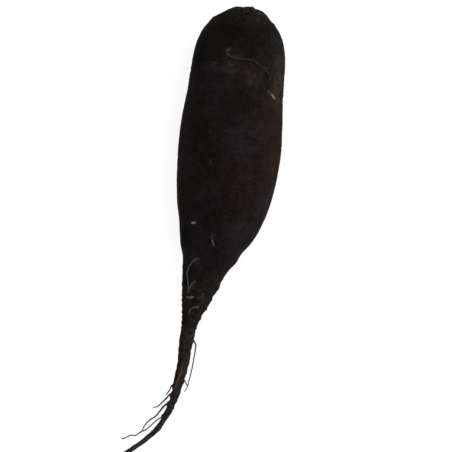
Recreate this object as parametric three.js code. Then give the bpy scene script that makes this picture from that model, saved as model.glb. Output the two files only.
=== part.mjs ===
// A long black radish: a pulled root with its leaves cut off at the crown, lying on its side.
// Millimetres, +Z up. The crown points along +Y. The tail runs away along -Y, sinks to the
// ground and curves towards -X. The origin is on the flattened underside, where it rests.
//
// The root, from crown to tail tip, grew as one piece and is one solid. The cut leaf stalks on
// its crown and the side roots that branch off it are separate organs, each its own mesh.

import * as THREE from "three";

// ---------------------------------------------------------------- driving dimensions

const UP = new THREE.Vector3(0, 0, 1);
const GAP = 0.3; // left between a piece and the root that it grows on

// The root's axis from the crown's flat top to the tail's tip, with the radius of the round
// section there. Where z is a little less than the radius, the underside is pressed flat.
const ROOT_STATIONS = [
  { x: 7.0, y: 77.3, z: 27.4, radius: 11.2 },
  { x: 7.0, y: 76.2, z: 27.4, radius: 13.2 },
  { x: 6.9, y: 73.5, z: 27.5, radius: 16.2 },
  { x: 6.7, y: 69.6, z: 27.7, radius: 19.7 },
  { x: 6.3, y: 66.0, z: 28.0, radius: 22.3 },
  { x: 5.8, y: 59.2, z: 28.2, radius: 25.7 },
  { x: 5.3, y: 51.9, z: 28.4, radius: 27.5 },
  { x: 4.1, y: 41.1, z: 28.3, radius: 28.4 },
  { x: 2.4, y: 26.6, z: 28.5, radius: 28.9 },
  { x: 0.8, y: 12.1, z: 29.6, radius: 30.1 },
  { x: -0.8, y: -6.0, z: 30.2, radius: 30.8 },
  { x: -2.3, y: -20.4, z: 29.6, radius: 30.1 },
  { x: -4.3, y: -34.7, z: 27.9, radius: 28.2 },
  { x: -7.5, y: -49.2, z: 25.1, radius: 24.8 },
  { x: -11.1, y: -60.1, z: 22.4, radius: 20.7 },
  { x: -14.1, y: -71.1, z: 19.4, radius: 15.5 },
  { x: -17.6, y: -82.1, z: 17.4, radius: 12.4 },
  { x: -21.2, y: -96.9, z: 14.9, radius: 8.7 },
  { x: -25.1, y: -111.9, z: 11.9, radius: 4.9 },
  { x: -26.6, y: -119.3, z: 11.0, radius: 4.2 },
  { x: -29.0, y: -134.3, z: 8.9, radius: 3.5 },
  { x: -32.8, y: -149.5, z: 6.5, radius: 2.9 },
  { x: -37.7, y: -164.7, z: 3.6, radius: 2.0 },
  { x: -41.9, y: -172.4, z: 2.4, radius: 1.6 },
  { x: -47.6, y: -180.0, z: 1.6, radius: 1.6 },
  { x: -56.8, y: -187.4, z: 1.4, radius: 1.4 },
  { x: -66.0, y: -193.4, z: 1.3, radius: 1.3 },
  { x: -79.0, y: -199.5, z: 1.0, radius: 1.0 },
  { x: -91.0, y: -202.6, z: 0.7, radius: 0.7 },
  { x: -101.0, y: -203.4, z: 0.4, radius: 0.4 },
];
const ROOT_SIDES = 48;
const RINGS_PER_STATION = 2;

// The cut leaf stalks stand close together on the crown's flat top, in a spiral about a middle
// that is a little off the root's axis. The outer ones are older, so they are wider and shorter.
const STALK_COUNT = 12;
const STALK_TURN = 2.4; // from one stalk to the next, in radians
const STALK_SPACING = 2.6; // a stalk's distance out is this times the square root of its place
const STALK_OFFSET = 0.7; // of the spiral's middle, towards +X
const STALK_LEAN = 0.04; // outwards, for each millimetre of height

const SIDE_ROOT_SIDES = 6;
const STEPS_PER_POINT = 3;

const skin = new THREE.MeshStandardMaterial({ color: 0x2a2320, roughness: 0.85, metalness: 0 });
const cutStalk = new THREE.MeshStandardMaterial({ color: 0x5b4f3f, roughness: 0.9, metalness: 0 });
const rootlet = new THREE.MeshStandardMaterial({ color: 0x5a4d44, roughness: 0.8, metalness: 0 });

// ---------------------------------------------------------------- shapes bent along an axis

// The middle of an axis at t, with the directions along it, across it and upwards.
function frameAt(axis, t) {
  const along = axis.getTangent(t);
  const side = new THREE.Vector3().crossVectors(along, UP).normalize();
  const up = new THREE.Vector3().crossVectors(side, along);
  return { centre: axis.getPoint(t), along, side, up };
}

// A round solid along an axis: a lathe whose height runs from 0 to 1, then bent so that its
// height follows the axis. radiusAt gives its radius at any t.
function roundAlong(axis, radiusAt, rings, sides) {
  const profile = [new THREE.Vector2(0, 0)];
  for (let i = 0; i <= rings; i++) {
    profile.push(new THREE.Vector2(radiusAt(i / rings), i / rings));
  }
  profile.push(new THREE.Vector2(0, 1));
  const geometry = new THREE.LatheGeometry(profile, sides);
  const position = geometry.getAttribute("position");
  for (let i = 0; i < position.count; i++) {
    const { centre, side, up } = frameAt(axis, position.getY(i));
    centre.addScaledVector(side, position.getX(i)).addScaledVector(up, position.getZ(i));
    position.setXYZ(i, centre.x, centre.y, centre.z);
  }
  return geometry;
}

// ---------------------------------------------------------------- the root

const rootAxis = new THREE.CatmullRomCurve3(
  ROOT_STATIONS.map(({ x, y, z }) => new THREE.Vector3(x, y, z)),
);
const rootGirth = new THREE.CatmullRomCurve3(
  ROOT_STATIONS.map(({ y, radius }) => new THREE.Vector3(radius, y, 0)),
);
const rootRadius = (t) => rootGirth.getPoint(t).x;

function makeRoot() {
  const rings = (ROOT_STATIONS.length - 1) * RINGS_PER_STATION;
  const geometry = roundAlong(rootAxis, rootRadius, rings, ROOT_SIDES);
  const position = geometry.getAttribute("position");
  for (let i = 0; i < position.count; i++) {
    position.setZ(i, Math.max(0, position.getZ(i)));
  }
  const mesh = new THREE.Mesh(geometry, skin);
  mesh.name = "radish_root";
  return mesh;
}

// The share of the root's axis at which it passes y.
function rootShareAt(y) {
  let [low, high] = [0, 1];
  for (let i = 0; i < 40; i++) {
    const middle = (low + high) / 2;
    if (rootAxis.getPoint(middle).y > y) low = middle;
    else high = middle;
  }
  return low;
}

// A point over the root's skin, where its axis passes y. The angle is in degrees round the
// root from its top, positive towards +X.
function overSkin(y, angle, height) {
  const t = rootShareAt(y);
  const { centre, side, up } = frameAt(rootAxis, t);
  const turn = THREE.MathUtils.degToRad(angle);
  const reach = rootRadius(t) + height;
  return centre
    .addScaledVector(side, -Math.sin(turn) * reach)
    .addScaledVector(up, Math.cos(turn) * reach);
}

// ---------------------------------------------------------------- the cut leaf stalks

// A crescent about the origin with round ends, from one end to the other as wide as width.
function crescent(distance, width, thickness) {
  const end = thickness / 2;
  const half = (width - thickness) / distance / 2;
  const [x, y] = [distance * Math.cos(half), distance * Math.sin(half)];
  const shape = new THREE.Shape();
  shape.absarc(0, 0, distance + end, -half, half, false);
  shape.absarc(x, y, end, half, half + Math.PI, false);
  shape.absarc(0, 0, distance - end, half, -half, true);
  shape.absarc(x, -y, end, Math.PI - half, 2 * Math.PI - half, false);
  return shape;
}

function makeLeafStalk(place) {
  const distance = STALK_SPACING * Math.sqrt(place + 0.7);
  const outline = crescent(distance, 3.2 + 0.18 * place, 2 + 0.04 * place);
  const height = 2.6 - 0.11 * place + 0.35 * Math.sin(2.1 * place);
  const geometry = new THREE.ExtrudeGeometry(outline, {
    depth: height,
    bevelEnabled: false,
    curveSegments: 5,
  });
  const position = geometry.getAttribute("position");
  for (let i = 0; i < position.count; i++) {
    position.setX(i, position.getX(i) + STALK_LEAN * distance * position.getZ(i));
  }
  const mesh = new THREE.Mesh(geometry, cutStalk);
  mesh.name = `leaf_stalk_${String(place + 1).padStart(2, "0")}`;
  mesh.rotation.z = place * STALK_TURN;
  return mesh;
}

function makeLeafStalks() {
  const { centre, along, side } = frameAt(rootAxis, 0);
  const outwards = along.clone().negate();
  const crown = new THREE.Group();
  crown.position.copy(centre).addScaledVector(outwards, GAP).addScaledVector(side, -STALK_OFFSET);
  crown.quaternion.setFromUnitVectors(UP, outwards);
  for (let place = 0; place < STALK_COUNT; place++) {
    crown.add(makeLeafStalk(place));
  }
  return crown;
}

// ---------------------------------------------------------------- the side roots

// Each side root thins from base to tip along its points, which lie over the root's skin or,
// once it has left the root, in the open.
const open = (x, y, z) => new THREE.Vector3(x, y, z);
const SIDE_ROOTS = [
  {
    name: "shoulder_hair_root",
    base: 0.3,
    tip: 0.2,
    points: [
      overSkin(50.8, -7, 0.7),
      overSkin(49.9, -15, 0.7),
      overSkin(48.2, -15, 0.7),
      overSkin(46.2, -8, 0.7),
      overSkin(45.7, 1, 0.8),
      overSkin(46.2, 12, 0.7),
      overSkin(45.4, 19, 0.7),
      overSkin(43.7, 26, 0.7),
      overSkin(42.3, 31, 0.7),
      overSkin(40.6, 36, 0.7),
      overSkin(38.2, 41, 0.7),
      overSkin(34.6, 47, 0.7),
    ],
  },
  {
    name: "shoulder_side_hair",
    base: 0.2,
    tip: 0.2,
    points: [overSkin(43.4, 32, 0.7), overSkin(43.1, 36, 0.8), overSkin(42.6, 41, 0.7)],
  },
  {
    name: "belly_stub_root",
    base: 0.8,
    tip: 0.7,
    points: [overSkin(-53.1, -3, 1.2), overSkin(-55.0, 0, 1.4), overSkin(-57.5, 5, 1.6)],
  },
  {
    name: "curled_side_root",
    base: 0.6,
    tip: 0.35,
    points: [
      overSkin(-68.4, -15, 1.0),
      overSkin(-70.2, -23, 1.2),
      overSkin(-74.3, -32, 1.3),
      overSkin(-77.8, -39, 1.2),
      overSkin(-81.3, -43, 1.0),
      overSkin(-85.0, -39, 0.9),
      overSkin(-88.7, -33, 0.8),
      overSkin(-92.1, -33, 0.8),
    ],
  },
  {
    name: "forked_side_root",
    base: 0.5,
    tip: 0.35,
    points: [overSkin(-83.6, -14, 0.9), overSkin(-85.4, -20, 1.2), overSkin(-87.6, -25, 1.2)],
  },
  {
    name: "crosswise_stub_root",
    base: 0.55,
    tip: 0.5,
    points: [overSkin(-93.6, -7, 1.0), overSkin(-94.2, -20, 1.7), overSkin(-94.6, -33, 2.2)],
  },
  {
    name: "hooked_side_root",
    base: 0.55,
    tip: 0.3,
    points: [
      overSkin(-99.5, 20, 0.9),
      overSkin(-99.0, 5, 1.3),
      overSkin(-100.2, -7, 1.2),
      overSkin(-102.1, -15, 0.9),
      overSkin(-104.3, -20, 0.8),
    ],
  },
  {
    name: "tail_crossing_root",
    base: 0.6,
    tip: 0.4,
    points: [
      overSkin(-115.4, 66, 1.0),
      overSkin(-117.0, 43, 1.1),
      overSkin(-118.6, 19, 1.1),
      overSkin(-120.4, -4, 1.0),
      overSkin(-122.4, -28, 0.8),
    ],
  },
  {
    name: "long_right_side_root",
    base: 0.4,
    tip: 0.2,
    points: [
      overSkin(-121.2, 84, 0.8),
      open(-21.6, -124.7, 9.5),
      open(-21.8, -127.9, 8.4),
      open(-22.8, -133.7, 6.2),
      open(-24.0, -140.0, 4.2),
      open(-25.2, -145.4, 2.5),
      open(-26.6, -150.4, 1.0),
    ],
  },
  {
    name: "short_right_side_root",
    base: 0.3,
    tip: 0.2,
    points: [overSkin(-145.8, 84, 0.7), open(-27.9, -148.7, 4.9), open(-27.0, -151.0, 3.4)],
  },
  {
    name: "upper_left_side_root",
    base: 0.4,
    tip: 0.2,
    points: [overSkin(-150.6, -80, 0.8), open(-38.0, -153.6, 4.6), open(-40.1, -156.4, 3.4)],
  },
  {
    name: "second_left_side_root",
    base: 0.4,
    tip: 0.2,
    points: [
      overSkin(-156.4, -80, 0.8),
      open(-39.4, -158.1, 3.2),
      open(-41.2, -159.9, 2.5),
      open(-43.7, -162.6, 1.6),
      open(-46.2, -164.4, 0.9),
      open(-47.8, -164.7, 0.6),
    ],
  },
  {
    name: "third_left_side_root",
    base: 0.5,
    tip: 0.2,
    points: [
      overSkin(-162.6, -78, 0.9),
      open(-41.2, -163.3, 3.0),
      open(-43.0, -165.4, 2.5),
      open(-45.0, -168.0, 2.1),
      open(-47.5, -170.7, 1.8),
      open(-50.0, -172.1, 1.7),
      open(-52.5, -174.5, 1.5),
      open(-53.8, -176.4, 1.4),
      open(-55.2, -179.0, 1.6),
    ],
  },
  {
    name: "longest_left_side_root",
    base: 0.3,
    tip: 0.2,
    points: [
      overSkin(-171.6, -76, 0.8),
      open(-46.2, -172.7, 1.1),
      open(-48.8, -175.1, 0.7),
      open(-51.3, -177.3, 0.5),
      open(-53.8, -179.1, 0.5),
      open(-55.9, -179.9, 0.5),
      open(-58.7, -182.0, 0.5),
      open(-60.3, -182.4, 0.5),
      open(-62.5, -182.1, 0.5),
      open(-64.2, -183.0, 0.5),
      open(-66.6, -184.2, 0.4),
    ],
  },
];

function makeSideRoot({ name, base, tip, points }) {
  const axis = new THREE.CatmullRomCurve3(points);
  const radiusAt = (t) => THREE.MathUtils.lerp(base, tip, t);
  const rings = (points.length - 1) * STEPS_PER_POINT;
  const mesh = new THREE.Mesh(roundAlong(axis, radiusAt, rings, SIDE_ROOT_SIDES), rootlet);
  mesh.name = name;
  return mesh;
}

// ---------------------------------------------------------------- the whole radish

const radish = new THREE.Group();
radish.add(makeRoot());
radish.add(makeLeafStalks());
for (const sideRoot of SIDE_ROOTS) radish.add(makeSideRoot(sideRoot));

export default radish;
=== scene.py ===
"""A long black radish, pulled and topped, lying on its side.

The taproot with its skin, the cut leaf stalks on its crown and its side roots are grown over
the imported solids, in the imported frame. All sizes are in metres.
"""

import itertools
import logging
import math
from collections.abc import Iterable, Sequence
from dataclasses import dataclass
from enum import Enum

import bpy
import numpy as np
from mathutils import Matrix, Vector
from mathutils.bvhtree import BVHTree


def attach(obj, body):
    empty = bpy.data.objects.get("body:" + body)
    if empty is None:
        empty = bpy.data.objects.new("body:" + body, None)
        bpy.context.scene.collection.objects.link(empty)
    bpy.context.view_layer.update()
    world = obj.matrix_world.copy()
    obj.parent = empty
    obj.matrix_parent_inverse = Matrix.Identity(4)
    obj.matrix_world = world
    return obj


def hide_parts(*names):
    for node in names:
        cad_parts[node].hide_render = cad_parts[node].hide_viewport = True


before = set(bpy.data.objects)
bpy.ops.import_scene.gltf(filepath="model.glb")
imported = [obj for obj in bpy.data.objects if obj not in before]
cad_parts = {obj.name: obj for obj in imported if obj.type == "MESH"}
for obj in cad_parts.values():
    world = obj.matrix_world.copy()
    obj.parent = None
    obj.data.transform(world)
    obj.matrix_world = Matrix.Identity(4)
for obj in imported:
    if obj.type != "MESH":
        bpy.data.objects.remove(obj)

log = logging.getLogger("radish")

MM = 0.001
UP = np.array([0.0, 0.0, 1.0])
WHITE = (1.0, 1.0, 1.0, 1.0)
OWN_MAP = "OFBake"
Array = np.ndarray
Chart = tuple[float, float, float, float]
Colour = tuple[int, int, int]
Point = tuple[float, float, float]
Span = tuple[float, float]
Node = bpy.types.Node
NodeTree = bpy.types.NodeTree
Piece = bpy.types.Object
Socket = bpy.types.NodeSocket
Value = float | Sequence[float] | Socket


# ---- numbers and curves


def shade(colour: Colour) -> tuple[float, float, float, float]:
    """Turn an everyday colour into the linear one that a shader takes.

    Args:
        colour: Red, green and blue from 0 to 255, as a screen shows them.

    Returns:
        Linear red, green, blue and a full alpha.
    """
    parts = [c / 255 for c in colour]
    linear = [c / 12.92 if c <= 0.04045 else ((c + 0.055) / 1.055) ** 2.4 for c in parts]
    return (*linear, 1.0)


def ease(low: float, high: float, values: Array) -> Array:
    """Rise smoothly from 0 at low to 1 at high, which may be the lesser of the two."""
    share = np.clip((values - low) / (high - low), 0, 1)
    return share * share * (3 - 2 * share)


def smooth_through(knots: Array, values: Array, at: Array) -> Array:
    """Follow a smooth curve through given values.

    Args:
        knots: Rising places at which the values are known.
        values: One value, or one point, for each knot.
        at: The places wanted, within the knots.

    Returns:
        The curve's values or points at those places.
    """
    slopes = np.gradient(values, knots, axis=0)
    left = np.clip(np.searchsorted(knots, at, side="right") - 1, 0, len(knots) - 2)
    gap = knots[left + 1] - knots[left]
    t = (at - knots[left]) / gap
    if values.ndim > 1:
        t, gap = t[:, None], gap[:, None]
    start = (1 + 2 * t) * (1 - t) ** 2 * values[left] + t * (1 - t) ** 2 * gap * slopes[left]
    end = t * t * (3 - 2 * t) * values[left + 1] + t * t * (t - 1) * gap * slopes[left + 1]
    return start + end


def unit(vectors: Array) -> Array:
    """Scale vectors to length 1 along their last axis."""
    return vectors / np.maximum(np.linalg.norm(vectors, axis=-1, keepdims=True), 1e-12)


def arc_lengths(points: Array) -> Array:
    """Measure how far along a line each of its points lies, from 0."""
    steps = np.linalg.norm(np.diff(points, axis=0), axis=1)
    return np.concatenate([[0.0], np.cumsum(steps)])


def points_from(*coordinates: Array | float) -> Array:
    """Put coordinates of any fitting shapes together as points, on a new last axis."""
    return np.stack(np.broadcast_arrays(*coordinates), -1)


class Noise:
    """Smooth seeded noise in space, from about -1 to 1.

    Attributes:
        cells: How many cells it has before it repeats, a power of 2.
        swing: What brings its values up to that range.
        shift: How far apart its layers lie.
    """

    cells = 256
    swing = 1.7
    shift = 17.3

    def __init__(self, seed: int) -> None:
        """Lay out the noise.

        Args:
            seed: Picks the pattern. The same seed always gives the same one.
        """
        picker = np.random.default_rng(seed)
        self._slopes = unit(picker.normal(size=(self.cells, 3)))
        self._order = picker.permutation(self.cells)

    def at(self, points: Array) -> Array:
        """Read the noise.

        Args:
            points: Places, with three coordinates on the last axis. A feature is about 1
                across.

        Returns:
            One value for each place.
        """
        cell = np.floor(points).astype(int)
        part = points - cell
        fade = part**3 * (part * (part * 6 - 15) + 10)
        total = np.zeros(points.shape[:-1])
        last = self.cells - 1
        for corner in itertools.product((0, 1), repeat=3):
            x, y, z = np.moveaxis((cell + corner) & last, -1, 0)
            column = self._order[(self._order[x] + y) & last]
            slope = self._slopes[self._order[(column + z) & last]]
            weight = np.prod(np.where(corner, fade, 1 - fade), axis=-1)
            total += weight * np.sum(slope * (part - corner), axis=-1)
        return total * self.swing

    def layers(self, points: Array, count: int) -> Array:
        """Add up layers of noise, each half the size and half the strength of the last."""
        return sum(self.at(points * 2**i + self.shift * i) / 2**i for i in range(count))


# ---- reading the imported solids


class PackedTube:
    """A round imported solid, read back as its centre line and its radius.

    Attributes:
        weld: How near to each other corners are one place.
    """

    weld = 0.0001 * MM

    def __init__(self, node: str) -> None:
        """Read the solid.

        Args:
            node: The solid's name in the frame.
        """
        self._points, self._near = self._welded(node)
        middles, radii = zip(*(self._middle_and_radius(ring) for ring in self._rings()))
        self.centres = np.array(middles)
        self.radii = np.array(radii)
        if (self.radii[0], -self.centres[0][0]) < (self.radii[-1], -self.centres[-1][0]):
            self.centres, self.radii = self.centres[::-1], self.radii[::-1]

    @classmethod
    def _welded(cls, node: str) -> tuple[Array, list[set[int]]]:
        """Join the solid's corners that lie at one place.

        Args:
            node: The solid's name in the frame.

        Returns:
            The places, and for each the places next to it.
        """
        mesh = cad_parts[node].data
        places = np.array([corner.co for corner in mesh.vertices], float)
        rounded = np.round(places / cls.weld).astype(np.int64)
        _, first, joined = np.unique(rounded, axis=0, return_index=True, return_inverse=True)
        joined = joined.ravel()
        near: list[set[int]] = [set() for _ in first]
        for edge in mesh.edges:
            a, b = (int(joined[v]) for v in edge.vertices)
            near[a].add(b)
            near[b].add(a)
        return places[first], near

    def _levels(self, start: int) -> list[list[int]]:
        """Group the places by how many edges they are from one of them.

        Args:
            start: The place to start from.

        Returns:
            The groups, nearest first.
        """
        seen, levels = {start}, [[start]]
        while levels[-1]:
            ring = {n for place in levels[-1] for n in self._near[place]} - seen
            seen |= ring
            levels.append(sorted(ring))
        return levels[:-1]

    def _rings(self) -> list[list[int]]:
        """Find the rings between the solid's two end points.

        Returns:
            The rings from end to end, as lists of places.
        """
        counts = [len(near) for near in self._near]
        for start in sorted(range(len(counts)), key=lambda place: -counts[place]):
            *rings, end = self._levels(start)[1:]
            if len(end) == 1 and {len(ring) for ring in rings} == {counts[start]}:
                return rings
        raise ValueError("the packed solid isn't a tube")

    def _middle_and_radius(self, ring: list[int]) -> tuple[Array, float]:
        """Measure a ring by its two farthest corners.

        Args:
            ring: The ring's places.

        Returns:
            The ring's middle and its radius.
        """
        points = self._points[ring]
        apart = np.linalg.norm(points[:, None] - points[None], axis=-1)
        a, b = np.unravel_index(np.argmax(apart), apart.shape)
        return (points[a] + points[b]) / 2, apart[a, b] / 2


# ---- growing meshes


@dataclass
class GrownRows:
    """Rows of points round a body, with what the finishes need to know at each point.

    Attributes:
        places: The points, as (rows, round, 3). The rows run from one end to the other.
        ends: The point that closes each end.
        straight: Where each point would be if the body were pulled straight, as places.
        marks: Further named values, as (rows, round).
        chart: Where the rows go on the piece's own map: low u, high u, low v, high v.
    """

    places: Array
    ends: tuple[Array, Array]
    straight: Array
    marks: dict[str, Array]
    chart: Chart = (0.0, 1.0, 0.0, 1.0)


@dataclass
class Strand:
    """A round strand that thins along its centre line.

    Attributes:
        centres: The centre line's points, as (rows, 3).
        radii: The radius at each of them.
        sides: How many points go round it.
        seed: Picks its unevenness.
        unevenness: How much its radius varies, as a share of it.
        lump: How long its lumps are.
        around: How many of them fit in its radius, round it.
        bulge: How far its ends bulge, as a share of its radius.
    """

    centres: Array
    radii: Array
    sides: int
    seed: int
    unevenness: float
    lump: float = 0.9 * MM
    around: float = 0.8
    bulge: float = 0.5

    def rows(self, chart: Chart) -> GrownRows:
        """Lay the strand's skin round its centre line.

        Args:
            chart: The strand's place on the piece's own map.

        Returns:
            The rows, with the share of its length as the mark "reach".
        """
        along = unit(np.gradient(self.centres, axis=0))
        side = self._carried(along)
        up = np.cross(side, along)
        turn = np.linspace(0, 2 * math.pi, self.sides, endpoint=False)
        out = side[:, None] * np.cos(turn)[:, None] + up[:, None] * np.sin(turn)[:, None]
        length = arc_lengths(self.centres)
        thick = self.radii[:, None]
        straight = points_from(np.cos(turn) * thick, length[:, None], np.sin(turn) * thick)
        onward = (length / self.lump)[:, None, None] * np.array([0.21, 1.0, 0.13])
        rough = Noise(self.seed).layers(out * self.around + onward, 2)
        radius = thick * (1 + self.unevenness * rough)
        places = self.centres[:, None] + out * radius[..., None]
        share = np.broadcast_to((length / length[-1])[:, None], rough.shape)
        ends = (
            self.centres[0] - along[0] * self.radii[0] * self.bulge,
            self.centres[-1] + along[-1] * self.radii[-1] * self.bulge,
        )
        return GrownRows(places, ends, straight, {"reach": share}, chart)

    @staticmethod
    def _carried(along: Array) -> Array:
        """Carry a sideways direction along the strand without twisting it.

        Args:
            along: The strand's direction at each row.

        Returns:
            A direction across the strand at each row.
        """
        start = UP if abs(along[0][2]) < 0.8 else np.array([1.0, 0.0, 0.0])
        side, carried = np.cross(along[0], start), []
        for way in along:
            side = unit(side - way * np.dot(side, way))
            carried.append(side)
        return np.array(carried)


def grow_piece(name: str, parts: Sequence[GrownRows]) -> Piece:
    """Make one smooth closed-ended piece from rows of points.

    Args:
        name: The piece's name.
        parts: The piece's parts, each a closed tube of rows.

    Returns:
        The new object, with its own map and its points' values.
    """
    points, faces, corners = [], [], []
    straight, marks = [], {key: [] for key in parts[0].marks}
    start = 0
    for part in parts:
        rows, round_ = part.places.shape[:2]
        new_faces, new_corners = _tube_faces(rows, round_, start, part.chart)
        faces += new_faces
        corners += new_corners
        points.append(np.concatenate([part.places.reshape(-1, 3), np.array(part.ends)]))
        pulled = part.straight.reshape(-1, 3)
        tips = [part.straight[0].mean(0), part.straight[-1].mean(0)]
        straight.append(np.concatenate([pulled, np.array(tips)]))
        for key, values in part.marks.items():
            tip_values = [values[0].mean(), values[-1].mean()]
            marks[key].append(np.concatenate([values.ravel(), tip_values]))
        start += rows * round_ + 2
    mesh = bpy.data.meshes.new(name)
    mesh.from_pydata(np.concatenate(points).tolist(), [], faces)
    mesh.polygons.foreach_set("use_smooth", np.ones(len(faces), bool))
    layer = mesh.uv_layers.new(name=OWN_MAP)
    layer.uv.foreach_set("vector", np.array(corners, np.float32).ravel())
    store = mesh.attributes.new("straight", "FLOAT_VECTOR", "POINT")
    store.data.foreach_set("vector", np.concatenate(straight).astype(np.float32).ravel())
    for key, values in marks.items():
        store = mesh.attributes.new(key, "FLOAT", "POINT")
        store.data.foreach_set("value", np.concatenate(values).astype(np.float32))
    mesh.update()
    piece = bpy.data.objects.new(name, mesh)
    bpy.context.scene.collection.objects.link(piece)
    return piece


def _tube_faces(
    rows: int, round_: int, start: int, chart: Chart
) -> tuple[list[tuple[int, ...]], list[tuple[float, float]]]:
    """List a tube's faces, with each corner's place on the map.

    Args:
        rows: How many rows the tube has.
        round_: How many points each row has.
        start: The number of the tube's first point.
        chart: The tube's place on the map.

    Returns:
        The faces, and the corners' map places in the same order.
    """
    low_u, high_u, low_v, high_v = chart
    u = np.linspace(low_u, high_u, round_ + 1).tolist()
    v = np.linspace(low_v, high_v, rows + 2).tolist()
    first, last = start + rows * round_, start + rows * round_ + 1
    faces: list[tuple[int, ...]] = []
    corners: list[tuple[float, float]] = []
    for j in range(round_):
        k = (j + 1) % round_
        left, right = u[j], u[j + 1]
        middle = (left + right) / 2
        faces.append((first, start + j, start + k))
        corners += [(middle, v[0]), (left, v[1]), (right, v[1])]
        for i in range(rows - 1):
            here, below = start + i * round_, start + (i + 1) * round_
            faces.append((here + j, below + j, below + k, here + k))
            top, bottom = v[i + 1], v[i + 2]
            corners += [(left, top), (left, bottom), (right, bottom), (right, top)]
        end = start + (rows - 1) * round_
        faces.append((last, end + k, end + j))
        corners += [(middle, v[-1]), (right, v[-2]), (left, v[-2])]
    return faces, corners


# ---- shader building


class SocketKind(Enum):
    """What a group's input or output carries."""

    NUMBER = "NodeSocketFloat"
    VECTOR = "NodeSocketVector"


class Graph:
    """Adds nodes to one node tree and links them."""

    def __init__(self, tree: NodeTree) -> None:
        """Start on the node tree to add to."""
        self.tree = tree

    def add(self, kind: str, **settings: object) -> Node:
        """Add a node.

        Args:
            kind: The node's type name.
            settings: The node's own settings.

        Returns:
            The new node.
        """
        node = self.tree.nodes.new(kind)
        for key, setting in settings.items():
            setattr(node, key, setting)
        return node

    def feed(self, socket: Socket, value: Value) -> None:
        """Give an input a link, or a value of its own.

        Args:
            socket: The input.
            value: Another node's output, or a plain value.
        """
        if isinstance(value, bpy.types.NodeSocket):
            self.tree.links.new(value, socket)
        else:
            socket.default_value = value

    def math(self, operation: str, *values: Value, clamp: bool = False) -> Socket:
        """Do arithmetic on one to three numbers.

        Args:
            operation: The Math node's operation.
            values: The numbers.
            clamp: Whether to keep the result from 0 to 1.

        Returns:
            The result.
        """
        node = self.add("ShaderNodeMath", operation=operation, use_clamp=clamp)
        for socket, value in zip(node.inputs, values):
            self.feed(socket, value)
        return node.outputs[0]

    def vector(self, operation: str, *values: Value, output: str = "Vector") -> Socket:
        """Do arithmetic on vectors.

        Args:
            operation: The Vector Math node's operation.
            values: The vectors.
            output: The output wanted.

        Returns:
            The result.
        """
        node = self.add("ShaderNodeVectorMath", operation=operation)
        for socket, value in zip(node.inputs, values):
            self.feed(socket, value)
        return node.outputs[output]

    def scaled(self, vector: Value, size: Value) -> Socket:
        """Scale a vector.

        Args:
            vector: The vector.
            size: How much longer it becomes.

        Returns:
            The scaled vector.
        """
        node = self.add("ShaderNodeVectorMath", operation="SCALE")
        self.feed(node.inputs["Vector"], vector)
        self.feed(node.inputs["Scale"], size)
        return node.outputs["Vector"]

    def sum_of(self, parts: Iterable[tuple[Socket, float]]) -> Value:
        """Add up numbers, each times its own strength.

        Args:
            parts: The numbers with their strengths.

        Returns:
            The sum.
        """
        total: Value = 0.0
        for number, strength in parts:
            total = self.math("MULTIPLY_ADD", number, strength, total)
        return total

    def ramp(
        self, value: Value, low: Value, high: Value, start: Value = 0.0, end: Value = 1.0
    ) -> Socket:
        """Turn one range of numbers smoothly into another.

        Args:
            value: The number to turn.
            low: Where the first range starts.
            high: Where it ends.
            start: Where the second range starts.
            end: Where it ends.

        Returns:
            The turned number.
        """
        node = self.add("ShaderNodeMapRange", interpolation_type="SMOOTHSTEP")
        for socket, part in zip(node.inputs, (value, low, high, start, end)):
            self.feed(socket, part)
        return node.outputs["Result"]

    def mix(self, share: Value, under: Value, over: Value, kind: str = "RGBA") -> Socket:
        """Lay one colour over another, or go from one number to another.

        Args:
            share: How much of the upper one shows, from 0 to 1.
            under: The colour or number below.
            over: The one above.
            kind: The Mix node's kind of value: RGBA or FLOAT.

        Returns:
            The mixed colour or number.
        """
        node = self.add("ShaderNodeMix", data_type=kind)
        for name, value in (("Factor", share), ("A", under), ("B", over)):
            self.feed(node.inputs[name], value)
        return node.outputs["Result"]

    def noise(
        self, place: Value, scale: float, detail: float, roughness: float = 0.5
    ) -> Socket:
        """Add plain noise.

        Args:
            place: Where to read it.
            scale: How many features fit in a metre.
            detail: How many finer layers it has.
            roughness: How strong those are.

        Returns:
            The noise, from 0 to 1.
        """
        node = self.add("ShaderNodeTexNoise", noise_dimensions="3D")
        self.feed(node.inputs["Vector"], place)
        node.inputs["Scale"].default_value = scale
        node.inputs["Detail"].default_value = detail
        node.inputs["Roughness"].default_value = roughness
        return node.outputs["Fac"]

    def point_value(self, name: str, output: str) -> Socket:
        """Read a named value that a piece's points carry, from the output wanted."""
        return self.add("ShaderNodeAttribute", attribute_name=name).outputs[output]

    def group(self, tree: NodeTree, **values: Value) -> Node:
        """Place a shared group.

        Args:
            tree: The group.
            values: Its inputs, by name with _ for a space.

        Returns:
            The placed group.
        """
        node = self.add("ShaderNodeGroup", node_tree=tree)
        for key, value in values.items():
            self.feed(node.inputs[key.replace("_", " ")], value)
        return node


@dataclass
class SharedGroup:
    """A shader node group under construction.

    Attributes:
        name: The group's name.
        inputs: What goes in, by name.
        outputs: What comes out, by name.
    """

    name: str
    inputs: dict[str, SocketKind]
    outputs: dict[str, SocketKind]

    def start(self) -> tuple[Graph, Node, Node]:
        """Make the group with its named sockets.

        Returns:
            A graph on the group, its input node and its output node.
        """
        tree = bpy.data.node_groups.new(self.name, "ShaderNodeTree")
        for in_out, sockets in (("INPUT", self.inputs), ("OUTPUT", self.outputs)):
            for name, kind in sockets.items():
                tree.interface.new_socket(name, in_out=in_out, socket_type=kind.value)
        graph = Graph(tree)
        return graph, graph.add("NodeGroupInput"), graph.add("NodeGroupOutput")


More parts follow.
